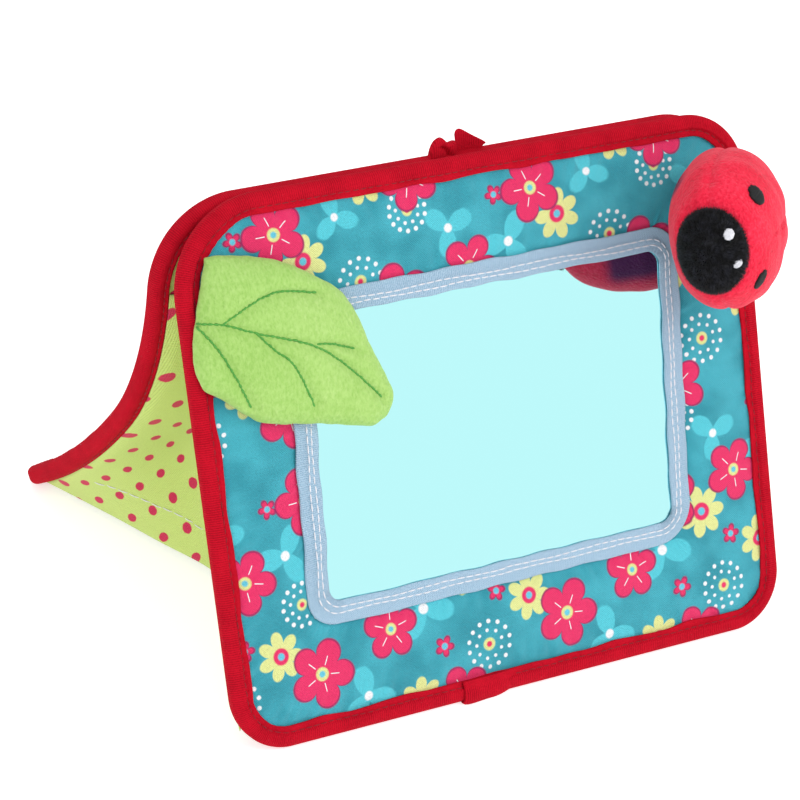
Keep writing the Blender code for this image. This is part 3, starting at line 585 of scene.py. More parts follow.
def floralPrint(bench, x, y, setup):
    tile, edge = setup["tile"], setup["edge"]
    wobble = bench.noise(bench.vector(x, y), 0.35, 1.0)
    shade = bench.noise(bench.vector(x, y), 0.06, 2.0)
    colour = bench.mix(bench.blendStep(shade, 0.3, 0.7), setup["ground"], setup["groundLight"])

    def paint(colour, distance, reach, fill, soft=edge):
        mask = bench.blendStep(reach - distance, -soft, soft)
        return bench.mix(mask, colour, fill)

    for spotX, spotY, size, turn in setup["sprigs"]:
        distance, angle = polar(x, y, (spotX, spotY), tile)
        reach = petals(angle, 3, turn, 0.18, 1.6) * size + wobble
        colour = paint(colour, distance, reach, setup["aqua"], 0.6)
        colour = paint(colour, distance, size * 0.16, setup["white"])
    for spotX, spotY, size, turn in setup["daisies"]:
        distance, angle = polar(x, y, (spotX, spotY), tile)
        reach = petals(angle, 7, turn, 0.52, 0.7) * size
        colour = paint(colour, distance, reach, setup["cream"])
        colour = paint(colour, distance, size * 0.34, setup["magenta"])
        colour = paint(colour, distance, size * 0.15, setup["blueDot"])
    for spotX, spotY, size, turn in setup["rings"]:
        distance, angle = polar(x, y, (spotX, spotY), tile)
        for share, count, dot in ((1.0, 14, 0.75), (0.62, 9, 0.6)):
            spread = ((angle * (count / 6.2832) + turn).part() - 0.5) * (6.2832 / count)
            radius = size * share
            off = (distance * distance + radius * radius - distance * 2 * radius * spread.cosine()).most(0.0) ** 0.5
            colour = paint(colour, off, dot, setup["white"], 0.2)
        colour = paint(colour, distance, size * 0.28, setup["cream"])
        colour = paint(colour, distance, size * 0.13, setup["magenta"])
    for kind, waist, full in (("blossoms", 0.56, 0.62), ("buds", 0.5, 0.8)):
        for spotX, spotY, size, turn in setup[kind]:
            distance, angle = polar(x, y, (spotX, spotY), tile)
            reach = petals(angle, 5, turn, waist, full) * size
            colour = paint(colour, distance, reach, setup["magentaDark"])
            colour = paint(colour, distance, reach - 0.7, setup["magenta"])
            if kind == "blossoms":
                vein = bench.blendStep((angle * 2.5 + turn * 5).sine().size() * distance, 0.55, 0.25)
                band = bench.blendStep(distance, 2.9, 3.3) * bench.blendStep(distance, 6.4, 5.9)
                line = (angle * 2.5 + turn * 5).cosine().size()
                colour = bench.mix(vein * band * (line > 0.4), colour, setup["white"])
                colour = paint(colour, distance, size * 0.19, setup["cream"])
            colour = paint(colour, distance, size * (0.09 if kind == "blossoms" else 0.3), setup["blueDot"])
    return colour


def clothGrain(bench, x, y, colour, thread, strength, distance):
    # a plain weave: its shade in the colour and its threads in the bump
    warp = (x * (math.pi / thread)).sine() * (y * (math.pi / thread)).sine()
    fleck = bench.noise(bench.vector(x, y), 1.5, 3.0, 0.7)
    level = warp * 0.06 + (fleck - 0.5) * strength + 1.0
    bench.bump(warp * 0.6 + fleck * 1.2, distance)
    return bench.tint(colour, level)


def printedCotton():
    bench = Bench("printedCotton", Roughness=0.78, Sheen_Weight=0.12, Specular_IOR_Level=0.3)
    x, y = bench.clothPlace()
    colour = clothGrain(bench, x, y, floralPrint(bench, x / 1.15, y / 1.15, printSetup), 0.42, 0.75, 0.0002)
    bench.feed("Base Color", colour)
    return bench.material


dotSetup = {"pitch": 10.9, "dot": 1.95, "turn": 55.0, "ground": rgb(200, 220, 126), "spot": rgb(204, 40, 84)}


def dottedCotton():
    bench = Bench("dottedCotton", Roughness=0.8, Sheen_Weight=0.1, Specular_IOR_Level=0.3)
    x, y = bench.clothPlace()
    turn = math.radians(dotSetup["turn"])
    across = (x * math.cos(turn) + y * math.sin(turn)) / dotSetup["pitch"]
    rise = (y * math.cos(turn) - x * math.sin(turn)) / dotSetup["pitch"]
    column = (across - across.whole()) * dotSetup["pitch"]
    row = (rise - rise.whole()) * dotSetup["pitch"]
    fray = (bench.noise(bench.vector(x, y), 1.2) - 0.5) * 0.5
    off = (column * column + row * row) ** 0.5 + fray
    spot = bench.blendStep(off, dotSetup["dot"] + 0.18, dotSetup["dot"] - 0.18)
    colour = bench.mix(spot, dotSetup["ground"], dotSetup["spot"])
    bench.feed("Base Color", clothGrain(bench, x, y, colour, 0.45, 0.3, 0.0002))
    return bench.material


tapeSetup = {"red": rgb(194, 16, 38), "redDeep": rgb(158, 9, 28), "rib": 0.85}


def redTape():
    # ribs across the rolled part, and a close twill on the flat strip beside the stitches
    bench = Bench("redTape", Roughness=0.9, Sheen_Weight=0.0, Specular_IOR_Level=0.06)
    x, y = bench.clothPlace()
    rib = (x * (2 * math.pi / tapeSetup["rib"])).sine()
    twill = ((x + y) * (2 * math.pi / 0.7)).sine()
    rolled = bench.blendStep(y, 2.2, 3.0) * bench.blendStep(y, 15.0, 14.0)
    fleck = bench.noise(bench.vector(x, y), 1.6, 3.0, 0.6)
    lines = rib * rolled * 0.5 + twill * (1 - rolled * 0.6) * 0.3
    patch = bench.noise(bench.vector(x, y), 0.12, 2.0)
    colour = bench.mix(bench.blendStep(fleck * 0.6 + patch * 0.4 + lines * 0.25, 0.3, 0.62),
                       tapeSetup["redDeep"], tapeSetup["red"])
    bench.bump(lines + fleck * 0.7, 0.0002)
    bench.feed("Base Color", colour)
    return bench.material


def blueWebbing():
    bench = Bench("blueWebbing", Roughness=0.7, Sheen_Weight=0.08, Specular_IOR_Level=0.25)
    x, y = bench.clothPlace()
    twill = ((x + y * 1.4) * (2 * math.pi / 0.85)).sine()
    rib = (x * (2 * math.pi / 0.8)).sine()
    fleck = bench.noise(bench.vector(x, y), 1.5, 3.0, 0.6)
    lines = twill * 0.4 + rib * 0.35
    colour = bench.mix(bench.blendStep(lines * 0.35 + fleck, 0.2, 0.85), rgb(136, 174, 200), rgb(190, 214, 233))
    bench.bump(lines + fleck * 0.8, 0.00025)
    bench.feed("Base Color", colour)
    return bench.material


def mirrorFilm():
    bench = Bench("mirrorFilm", Metallic=1.0, Roughness=0.03, Base_Color=rgb(194, 255, 255))
    smear = bench.noise(bench.solid(), 22.0, 2.0)
    bench.feed("Roughness", bench.blendStep(smear, 0.35, 0.75) * 0.05 + 0.02)
    return bench.material


def velour(name, dark, mid, light, nap, sheen, belly=None):
    # short pile: patches where it is stroked another way, and a fine lie of the fibres
    bench = Bench(name, Roughness=0.9, Sheen_Weight=sheen, Sheen_Roughness=0.35, Specular_IOR_Level=0.2)
    place = bench.solid()
    stretched = bench.node("ShaderNodeMapping", None, {"Vector": place, "Scale": nap})
    hair = bench.noise(stretched, 900.0, 3.0, 0.6)
    stroke = bench.noise(place, 60.0, 3.0, 0.55)
    patch = bench.noise(place, 14.0, 2.0)
    level = hair * 0.62 + stroke * 0.22 + patch * 0.3
    colour = bench.mix(bench.blendStep(level, 0.38, 0.62), dark, mid)
    colour = bench.mix(bench.blendStep(level, 0.55, 0.85), colour, light)
    # painted sheen: the colour is lightened towards the light tone where the surface turns away from the camera, at the
    # outline
    rim = bench.node("ShaderNodeLayerWeight", None, {"Blend": 0.35}, out="Facing")
    colour = bench.mix(bench.blendStep(rim, 0.35, 1.0) * 0.55, colour, light)
    if belly:
        # painted shade: the side that lies against the mirror is darkened towards a dark purple as if in shadow; the
        # plush there is the same red
        x, y = bench.clothPlace()
        under = bench.blendStep((x - belly["round"]).size(), belly["half"] + 4, belly["half"] - 4)
        colour = bench.mix(under * bench.blendStep(y, belly["from"] - 4, belly["from"] + 4), colour, belly["colour"])
    bench.bump(hair + stroke * 0.5, 0.0008)
    bench.feed("Base Color", colour)
    return bench.material


def thread(name, dark, light, shine=0.5):
    bench = Bench(name, Roughness=shine, Sheen_Weight=0.04)
    twist = bench.noise(bench.solid(), 1500.0, 2.0)
    bench.feed("Base Color", bench.mix(twist, dark, light))
    return bench.material


def fur(name, dark, light):
    bench = Bench(name, Roughness=0.65, Sheen_Weight=0.02, Specular_IOR_Level=0.28)
    tone = bench.noise(bench.solid(), 350.0, 2.0)
    bench.feed("Base Color", bench.mix(bench.blendStep(tone, 0.4, 0.75), dark, light))
    return bench.material


finishes = {
    "print": printedCotton(), "dots": dottedCotton(), "tape": redTape(), "webbing": blueWebbing(),
    "mirror": mirrorFilm(),
    "leaf": velour("greenVelour", rgb(144, 186, 92), rgb(160, 198, 108), rgb(180, 212, 130), (1.0, 0.6, 0.6), 0.12),
    # the red plush's last argument paints shade on its belly, a dark purple where it faces the mirror
    "plush": velour("redPlush", rgb(196, 18, 46), rgb(226, 30, 60), rgb(240, 62, 88), (1.0, 1.0, 0.7), 0.12,
                    {"round": 81.7, "half": 27.0, "from": 37.0, "colour": rgb(96, 20, 62)}),
    "fur": fur("blackFur", rgb(8, 8, 10), rgb(40, 41, 50)),
    "felt": fur("blackFelt", rgb(5, 5, 6), rgb(18, 18, 21)),
    "whiteThread": thread("whiteThread", rgb(196, 196, 204), rgb(238, 238, 242)),
    "redThread": thread("redThread", rgb(112, 6, 20), rgb(150, 12, 30), 0.8),
    "greenThread": thread("greenThread", rgb(44, 122, 40), rgb(92, 172, 66)),
}
print("materials made")


# Floor and light

lightSetup = {
    "world": 0.96, "worldColour": (0.985, 0.99, 1.0, 1.0), "floor": 0.72, "glow": 0.6,
    "lamps": (
        ("keyLamp", (0.75, -0.85, 1.15), (0.02, 0.05, 0.08), 0.8, 9.0),
        ("fillLamp", (-1.1, -0.6, 0.7), (-0.05, 0.08, 0.06), 0.9, 3.0),
    ),
}


def makeStage(setup):
    world = bpy.data.worlds.new("studio")
    world.use_nodes = True
    backdrop = world.node_tree.nodes["Background"]
    backdrop.inputs["Color"].default_value = setup["worldColour"]
    backdrop.inputs["Strength"].default_value = setup["world"]
    bpy.context.scene.world = world
    bench = Bench("paleFloor", Roughness=0.9, Specular_IOR_Level=0.1)
    grain = bench.noise(bench.solid(), 3.0, 2.0)
    level = setup["floor"]
    bench.feed("Base Color", bench.mix(grain, (level - 0.01,) * 3 + (1,), (level + 0.01,) * 3 + (1,)))
    bench.shader.inputs["Emission Color"].default_value = (1, 1, 1, 1)
    bench.shader.inputs["Emission Strength"].default_value = setup["glow"]
    builder = bmesh.new()
    bmesh.ops.create_grid(builder, x_segments=4, y_segments=4, size=4.0)
    mesh = bpy.data.meshes.new("floor")
    builder.to_mesh(mesh)
    builder.free()
    mesh.materials.append(bench.material)
    floor = bpy.data.objects.new("floor", mesh)
    floor.location.z = -0.0002
    bpy.context.scene.collection.objects.link(floor)
    for name, place, target, size, power in setup["lamps"]:
        data = bpy.data.lights.new(name, "AREA")
        data.size, data.energy = size, power
        lamp = bpy.data.objects.new(name, data)
        lamp.location = place
        lamp.rotation_mode = "QUATERNION"
        lamp.rotation_quaternion = (Vector(target) - Vector(place)).to_track_quat("-Z", "Y")
        bpy.context.scene.collection.objects.link(lamp)
    bpy.context.scene.view_settings.view_transform = "Standard"


makeStage(lightSetup)
print("stage set")


# Pieces that follow an outline

def shrunk(outline, middle, shares):
    # the same outline again, drawn in towards its middle
    return middle + (outline[:, None] - middle) * shares[None, :, None]


def laid(outer, inner, shares):
    # flat places at shares of the way from an outer to an inner outline or point
    return outer[:, None] + (inner - outer)[:, None] * shares[None, :, None]


frontOutline = Outline(front, onFront)
backOutline = Outline(back, onBack)
binding = {"face": 0.0080, "fold": 0.0060, "stitch": 0.0024, "roll": 0.00075, "strip": 0.0003, "groove": 0.00035,
           "grooveWide": 0.0006, "liningStitch": 0.0016, "soft": 0.002, "edge": 0.0012, "drift": 0.00035,
           "coverRow": 0.0056, "liningRow": 0.0044, "pucker": 0.45,
           "waves": ((0.021, 0.00022), (0.008, 0.0001)), "gather": (0.0042, 0.00022)}     # wavelength, height
bindingStitch = {"pitch": 0.0033, "length": 0.0027, "thread": 0.00042, "rise": 0.00016, "sink": 0.00006, "seed": 4}


def bindingProfile():
    # the tape's outer skin as (in from the edge, m), from the cover side round the edge to the lining side
    high, low, radius = layers["depth"] + tapeOut, -tapeOut, layers["edgeRound"]
    face = np.linspace(binding["face"], radius, 13)[:-1]
    fold = np.linspace(radius, binding["fold"], 7)[1:]
    turn = np.radians(np.linspace(90, 0, 8))
    points = [np.stack([face, np.full_like(face, high)], 1),
              np.stack([radius - radius * np.cos(turn), high - radius + radius * np.sin(turn)], 1),
              np.stack([radius - radius * np.cos(turn[::-1]), low + radius - radius * np.sin(turn[::-1])], 1),
              np.stack([fold, np.full_like(fold, low)], 1)]
    skin = np.concatenate(points)
    ahead = unit(np.gradient(skin, axis=0))
    outward = np.stack([-ahead[:, 1], ahead[:, 0]], 1)
    return skin, outward if outward[0, 1] > 0 else -outward


def makeBinding(name, outline, seed):
    skin, outward = bindingProfile()
    across = pathLengths(skin)
    lengths, total = outline.lengths[:-1], outline.lengths[-1]
    s, t = lengths[:, None], across[None, :]
    edgeIn = skin[None, :, 0]
    topSide = np.clip((skin[None, :, 1] - layers["depth"] * 0.5) / binding["soft"], 0, 1)
    face = np.clip((edgeIn - binding["edge"]) / binding["soft"], 0, 1) * topSide
    roll = np.clip((t - binding["stitch"]) / (across[11] - binding["stitch"]), 0, 1)
    rise = binding["roll"] * np.sin(math.pi * np.clip(roll * 0.8, 0, 1)) ** 0.8 * topSide
    rise = rise - binding["strip"] * bell(t, binding["stitch"] * 0.8)
    puckers = 1 + binding["pucker"] * evenWaves(s, total, bindingStitch["pitch"])
    lining = across[-1] - t
    groove = bell(t - binding["stitch"], binding["grooveWide"])
    groove = groove + bell(lining - binding["liningStitch"], binding["grooveWide"])
    rise = rise - binding["groove"] * groove * puckers
    wavy = sum(ripple(s, total, wave, seed + n) * size for n, (wave, size) in enumerate(binding["waves"]))
    rise = rise + wavy * face
    corner = cornerShare(outline)[:, None]
    pitch, size = binding["gather"]
    rise = rise + size * corner * face * evenWaves(s, total, pitch)
    drift = ripple(s, total, 0.03, seed + 2) * binding["drift"] * bell(t, binding["soft"])

    def skinPoints(offset):
        # the width in from the edge and the height of one skin of the tape
        depthIn = skin[None, :, 0] + outward[None, :, 0] * (rise - offset) + drift
        height = skin[None, :, 1] + outward[None, :, 1] * (rise - offset)
        return depthIn, height

    outerLoop, innerLoop = outline.loop(0.0), outline.loop(binding["face"])
    parts = []
    for offset, order in ((0.0, slice(None)), (layers["tape"], slice(None, None, -1))):
        depthIn, height = skinPoints(offset)
        share = depthIn / binding["face"]
        between = outerLoop[:, None] + (innerLoop - outerLoop)[:, None] * share[..., None]
        parts.append(outline.place(between[..., 0], between[..., 1], height)[:, order])
    points = np.concatenate(parts, 1)
    points[..., 2] = np.maximum(points[..., 2], 0.0)
    marks = np.zeros((points.shape[0] + 1, points.shape[1], 2))
    marks[..., 0] = outline.lengths[:, None]
    marks[..., 1] = np.concatenate([across, across[::-1]])[None]
    return makeBody(name, points, marks, [finishes["tape"]], closeRows=True, closeColumns=True)


def cornerShare(outline):
    # 1 in the middle of a corner, 0 on the straight sides
    across, corner, up = outline.counts
    order = np.zeros(outline.size)
    at = 0
    for steps in (up, across, up, across):
        order[at:at + corner] = np.sin(math.pi * (np.arange(corner) + 0.5) / corner)
        at += corner + steps
    return np.roll(order, across // 2)


def bindingStitches(name, outline, piece, side):
    # the stitch line on the cover side (side 1) or on the lining side (side -1)
    loop = outline.loop(binding["coverRow"] if side > 0 else binding["liningRow"])
    level = layers["depth"] + tapeOut if side > 0 else -tapeOut
    points, normals = offPlace(outline.place, loop[:, 0], loop[:, 1], level)
    points, normals = settle(surfaceOf(piece), points, normals * side, 0.004)
    return stitchRow(name, points, normals, bindingStitch, finishes["redThread"], closed=True)


def ride(piece, body, slotName, *nodes):
    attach(piece, body)
    if nodes:
        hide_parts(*nodes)
    return piece


# Front panel

windowSetup = {"width": 0.1525, "height": 0.106, "shift": 0.0003, "bottom": 0.050, "webbing": 0.0088,
               "outerRadii": (0.015, 0.012, 0.012, 0.012), "innerRadius": 0.0055, "slant": 0.047}
padSetup = {"seam": 0.003, "crown": 0.0013, "wave": 0.0004, "waveLength": 0.034, "rows": 34, "under": 0.0002,
            "tapePucker": (0.00045, 0.0085, 0.006), "webbingPucker": (0.00036, 0.0075, 0.005)}   # height, wave, fade


def windowLoop(grow):
    half = windowSetup["width"] / 2 + grow
    middle = windowSetup["shift"]
    low = windowSetup["bottom"] - grow
    high = windowSetup["bottom"] + windowSetup["height"] + grow
    share = grow / windowSetup["webbing"]
    inner = windowSetup["innerRadius"]
    radii = [inner + (outer - inner) * share for outer in windowSetup["outerRadii"]]
    loop = roundedLoop((middle - half, middle + half, low, high), radii, frontOutline.counts)
    loop[:, 0] += windowSetup["slant"] * (loop[:, 1] - (low + high) / 2)
    return loop


def makeFrontPad():
    outer, inner = frontOutline.loop(padSetup["seam"]), windowLoop(0.0)
    shares = np.linspace(0, 1, padSetup["rows"])
    lengths, total = frontOutline.lengths[:-1], frontOutline.lengths[-1]
    span = np.linalg.norm(inner - outer, axis=1)[:, None]
    fromSeam = span * shares[None]
    startAt = binding["face"] - padSetup["seam"]
    endAt = span - windowSetup["webbing"]
    free = np.clip((fromSeam - startAt) / (endAt - startAt), 0, 1)
    between = laid(outer, inner, shares)
    x, v = between[..., 0], between[..., 1]
    rise = padSetup["crown"] * np.sin(math.pi * free) ** 0.7
    edges = ((startAt, free > 0, 31, padSetup["tapePucker"]), (endAt, free < 1, 32, padSetup["webbingPucker"]))
    for at, bare, seed, (height, wave, fade) in edges:
        near = np.exp(-np.abs(fromSeam - at) / fade)
        rise += height * near * ripple(lengths[:, None], total, wave, seed) * bare
    rise += padSetup["wave"] * lumps(x, v, padSetup["waveLength"], 33) * np.sin(math.pi * free) ** 0.5
    rise = rise * np.clip(np.minimum(free, 1 - free) * 12, 0, 1) - padSetup["under"]
    cover = onFront(x, v, layers["depth"] + rise)[:, ::-1]
    coverMarks = between[:, ::-1]
    middle = np.array([windowSetup["shift"], windowSetup["bottom"] + windowSetup["height"] / 2])
    inside = np.linspace(0.25, 0.92, 4)
    hidden = middle + (inner[:, None] - middle) * inside[None, :, None]
    hiddenPoints = onFront(hidden[..., 0], hidden[..., 1], layers["depth"] - padSetup["under"])
    liningShares = np.concatenate([np.linspace(0, 0.9, 26), [0.97]])
    marks = laid(outer, middle, liningShares)
    x, v = marks[..., 0], marks[..., 1]
    easing = np.clip(liningShares * 12, 0, 1)[None]
    lining = onFront(x, v, -0.0001 - (0.0002 + 0.0003 * lumps(x, v, 0.03, 35)) * easing)
    points = np.concatenate([hiddenPoints, cover, lining], 1)
    cloth = np.concatenate([hidden, coverMarks, marks], 1)
    slots = np.zeros(points.shape[:2], int)
    slots[:, hiddenPoints.shape[1] + cover.shape[1] - 1:] = 1
    piece = makeBody("frontPad", points, cloth, [finishes["print"], finishes["dots"]], slots.tolist(),
                     closeRows=True, caps="centres")
    ride(piece, "front_panel", "printed_cotton", "front_cover", "front_lining", "front_wadding", "front_stiffener")
    return piece


frontPad = makeFrontPad()
frontBinding = makeBinding("frontBinding", frontOutline, 41)
ride(frontBinding, "front_panel", "red_tape", "front_binding")
ride(bindingStitches("frontBindingStitches", frontOutline, frontBinding, 1), "front_panel", "red_tape")
ride(bindingStitches("frontBindingStitchesInside", frontOutline, frontBinding, -1), "front_panel", "red_tape")
print("front panel made")

webbingSetup = {"seat": 0.0003, "thick": 0.0008, "over": 0.0012, "rows": (0.50, 0.72), "stepAt": 0.35, "stepLong": 0.2,
                "groove": 0.00014, "grooveWide": 0.05, "edge": 0.00018, "edgeWide": 0.06, "drift": 0.0003,
                "sway": 0.03, "waves": ((0.02, 0.00016), (0.007, 0.00005)), "gather": (0.003, 0.0002)}
webbingStitch = {"pitch": 0.0036, "length": 0.0031, "thread": 0.0006, "rise": 0.00022, "sink": 0.0001,
                 "wander": 0.0001, "seed": 7}


def makeWebbing():
    outer, inner = windowLoop(windowSetup["webbing"]), windowLoop(0.0)
    lengths = pathLengths(outer, True)
    s, total = lengths[:-1, None], lengths[-1]
    share = np.linspace(0, 1, 17)
    step = np.clip((share - webbingSetup["stepAt"]) / webbingSetup["stepLong"], 0, 1)
    under = layers["depth"] + webbingSetup["seat"] + (webbingSetup["over"] - webbingSetup["seat"]) * eased(step)
    corner = cornerShare(frontOutline)[:, None]
    wavy = sum(ripple(s, total, wave, 51 + n) * size for n, (wave, size) in enumerate(webbingSetup["waves"]))
    pitch, size = webbingSetup["gather"]
    gather = size * corner * evenWaves(s, total, pitch) * share[None] ** 2
    groove = sum(bell(share[None] - row, webbingSetup["grooveWide"]) for row in webbingSetup["rows"])
    groove = groove * -webbingSetup["groove"]
    edge = sum(bell(share[None] - end, webbingSetup["edgeWide"]) for end in (0, 1)) * -webbingSetup["edge"]
    top = under[None] + webbingSetup["thick"] + wavy * share[None] + gather + groove + edge
    below = np.broadcast_to(under, top.shape) + np.minimum(wavy * share[None] + gather, 0) * 0.5
    drift = ripple(s, total, 0.03, 53) * webbingSetup["drift"]
    upper = outer[:, None] + (inner - outer)[:, None] * (share[None] + drift / windowSetup["webbing"])[..., None]
    points = np.concatenate([onFront(upper[..., 0], upper[..., 1], top),
                             onFront(upper[..., 0], upper[..., 1], below)[:, ::-1]], 1)
    cloth = np.zeros((points.shape[0] + 1, points.shape[1], 2))
    cloth[..., 0] = lengths[:, None]
    cloth[..., 1] = np.concatenate([share, share[::-1]])[None] * windowSetup["webbing"]
    piece = makeBody("windowWebbing", points, cloth, [finishes["webbing"]], closeRows=True, closeColumns=True)
    ride(piece, "front_panel", "blue_webbing", "webbing_frame")
    surface = surfaceOf(piece)
    for number, row in enumerate(webbingSetup["rows"]):
        line = outer + (inner - outer) * row
        line = line + (inner - outer) * webbingSetup["sway"] * np.sin(s * 140 + number * 1.7)
        where, normals = offPlace(onFront, line[:, 0], line[:, 1], layers["depth"] + 0.002)
        where, normals = settle(surface, where, normals, 0.004)
        stitches = stitchRow(f"webbingStitches{number + 1}", where, normals, dict(webbingStitch, seed=7 + number),
                             finishes["whiteThread"], closed=True)
        ride(stitches, "front_panel", "blue_webbing")


mirrorSetup = {"tuck": 0.0042, "top": 0.0009, "below": 0.0003, "wave": 0.00012, "waveLength": 0.075}


def makeMirror():
    outer = windowLoop(mirrorSetup["tuck"])
    middle = np.array([windowSetup["shift"], windowSetup["bottom"] + windowSetup["height"] / 2])
    share = np.linspace(0, 0.97, 40)
    between = laid(outer, middle, share)
    x, v = between[..., 0], between[..., 1]
    edge = np.clip(share * 9, 0, 1)[None]
    top = layers["depth"] + mirrorSetup["top"]
    top = top + lumps(x, v, mirrorSetup["waveLength"], 61, 5) * mirrorSetup["wave"] * edge
    below = np.full_like(top, layers["depth"] + mirrorSetup["below"])
    points = twoSkins(onFront(x, v, top), onFront(x, v, below))
    cloth = twoSkins(between, between)
    piece = makeBody("mirrorSheet", points, cloth, [finishes["mirror"]], closeRows=True, caps="centres")
    ride(piece, "front_panel", "mirror_face", "mirror_sheet")


makeMirror()
makeWebbing()
print("mirror and webbing made")

lapSetup = {"length": 0.026, "middle": -0.0135, "swell": 0.0011, "sink": 0.0013}


def makeLap():
    # the tape's folded end over its start, at the middle of the bottom edge
    skin, outward = bindingProfile()
    across = pathLengths(skin)
    keep = across < across[-1] * 0.62
    skin, outward, across = skin[keep], outward[keep], across[keep]
    ends = lapSetup["middle"] + np.array([-0.5, 0.5]) * lapSetup["length"]
    along = np.linspace(0, 1, 40)
    x = (ends[0] + (ends[1] - ends[0]) * along)[:, None]
    swell = lapSetup["swell"] * np.minimum(along / 0.1, 1) ** 0.5 * (1 - along) ** 0.8 + 0.0002 * np.sin(along * 11.0)
    ebb = np.clip((along - 0.5) / 0.45, 0, 1)
    lift = 0.0002 + swell[:, None] * (0.5 + 0.5 * np.sin(math.pi * across / across[-1]))[None]
    lift = lift + (0.0005 * (1 - ebb))[:, None] * np.clip((across / across[-1] - 0.1) / 0.3, 0, 1)[None]
    lift = lift - (lapSetup["sink"] * eased(ebb))[:, None]
    parts = []
    for offset, order in ((0.0, slice(None)), (layers["tape"], slice(None, None, -1))):
        raised = lift + layers["tape"] - offset
        depthIn = skin[None, :, 0] + outward[None, :, 0] * raised
        height = skin[None, :, 1] + outward[None, :, 1] * raised
        parts.append(onFront(np.broadcast_to(x, depthIn.shape), depthIn, height)[:, order])
    points = np.concatenate(parts, 1)
    points[..., 2] = np.maximum(points[..., 2], 0.0)
    cloth = np.zeros((*points.shape[:2], 2))
    cloth[..., 0] = x
    cloth[..., 1] = np.concatenate([across, across[::-1]])[None]
    piece = makeBody("frontBindingLap", points, cloth, [finishes["tape"]], closeColumns=True, caps="ends")
    ride(piece, "front_panel", "red_tape", "front_binding_lap")


makeLap()


# Back panel

foldTop = backLength - back["straight"]
foldLow = foldTop - backBend * back["bendRadius"]


def bendBack(piece, slotName, *nodes):
    # bakes a back piece's place into its mesh and hides the parts that it replaces
    start, end = onBack(0.0, foldTop, layers["depth"] / 2), onBack(0.0, foldLow, layers["depth"] / 2)
    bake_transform(piece)
    if nodes:
        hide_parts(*nodes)
    return piece


def backHalfWidth(v, inset):
    half = back["width"] / 2 - inset
    footRadius, topRadius = (radius - inset for radius in back["radii"][:2])
    fromTop, fromFoot = backLength - inset - v, v - inset
    top = np.maximum(topRadius - fromTop, 0)
    foot = np.maximum(footRadius - fromFoot, 0)
    width = half - topRadius + np.sqrt(np.maximum(topRadius ** 2 - top ** 2, 0))
    low = half - footRadius + np.sqrt(np.maximum(footRadius ** 2 - foot ** 2, 0))
    return np.minimum(width, low)


backPadSetup = {"columns": 110, "rows": 90, "crown": 0.0011, "wave": 0.0006, "waveLength": 0.04, "under": 0.0002,
                "sag": 0.0001, "sagWave": 0.0003, "sagLength": 0.035, "edge": 0.004, "edgeSoft": 0.02}


def makeBackPad():
    setup = backPadSetup
    inset = padSetup["seam"]
    ease = 1 - np.cos(math.pi / 2 * np.linspace(0, 1, 12)[:-1])
    footRadius, topRadius = back["radii"][:2]
    low = inset + (footRadius - inset) * ease
    high = backLength - inset - (topRadius - inset) * ease[::-1]
    v = np.concatenate([low, np.linspace(footRadius, backLength - topRadius, setup["rows"])[:-1], high])
    across = np.linspace(-1, 1, setup["columns"])
    x = backHalfWidth(v, inset)[:, None] * across[None]
    vv = np.broadcast_to(v[:, None], x.shape)
    edge = np.minimum(1 - np.abs(across[None]), 1) * back["width"] / 2
    edge = np.minimum(edge, np.minimum(vv - inset, backLength - inset - vv))
    crown = np.sin(math.pi / 2 * np.clip((edge - setup["edge"]) / setup["edgeSoft"], 0, 1))
    cover = (setup["crown"] + setup["wave"] * lumps(x, vv, setup["waveLength"], 71)) * crown
    cover = layers["depth"] - setup["under"] + cover
    lining = (setup["sag"] + setup["sagWave"] * lumps(x, vv, setup["sagLength"], 72)) * crown
    lining = -setup["sag"] - lining
    points = np.concatenate([onBack(x, vv, cover), onBack(x, vv, lining)[:, ::-1]], 1)
    flat = np.stack([x, vv], -1)
    cloth = np.concatenate([flat, flat[:, ::-1]], 1)
    slots = np.zeros(points.shape[:2], int)
    slots[:, setup["columns"]:] = 1
    piece = makeBody("backPad", points, cloth, [finishes["print"], finishes["dots"]], slots.tolist(),
                     closeColumns=True, caps="ends")
    bendBack(piece, "dotted_cotton", "back_cover_upper", "back_cover_lower", "back_lining_upper",
             "back_lining_lower", "back_wadding_upper", "back_wadding_lower")


makeBackPad()
backBinding = makeBinding("backBinding", backOutline, 81)
backStitches = bindingStitches("backBindingStitches", backOutline, backBinding, 1)
backStitchesInside = bindingStitches("backBindingStitchesInside", backOutline, backBinding, -1)
bendBack(backBinding, "red_tape", "back_binding_upper", "back_binding_lower")
bendBack(backStitches, "red_tape")
bendBack(backStitchesInside, "red_tape")
print("back panel made")

tailSetup = {
    "depth": 0.0052, "cloth": 0.0010, "start": -0.011, "foldLength": 0.011, "foldHeight": 0.0073,
    "endLength": 0.0128, "endHeight": 0.0086, "space": 0.001,
    # shares of the length and height, round each shape
    "foldShape": ((0.02, -0.2), (0.05, 0.16), (0.13, 0.56), (0.24, 0.86), (0.40, 1.0), (0.56, 0.93), (0.74, 0.68),
                  (0.92, 0.62), (1.06, 0.66), (1.08, 0.2), (1.0, -0.2), (0.5, -0.22)),
    "pinch": ((0.50, 0.48), (0.62, 0.36), (0.72, 0.14), (0.78, -0.1)),
    "endShape": ((0.0, -0.12), (0.03, 0.5), (0.0, 0.82), (0.07, 1.0), (0.25, 0.98), (0.62, 0.64), (1.0, 0.30),
                 (0.96, 0.16), (0.72, -0.12)),
}


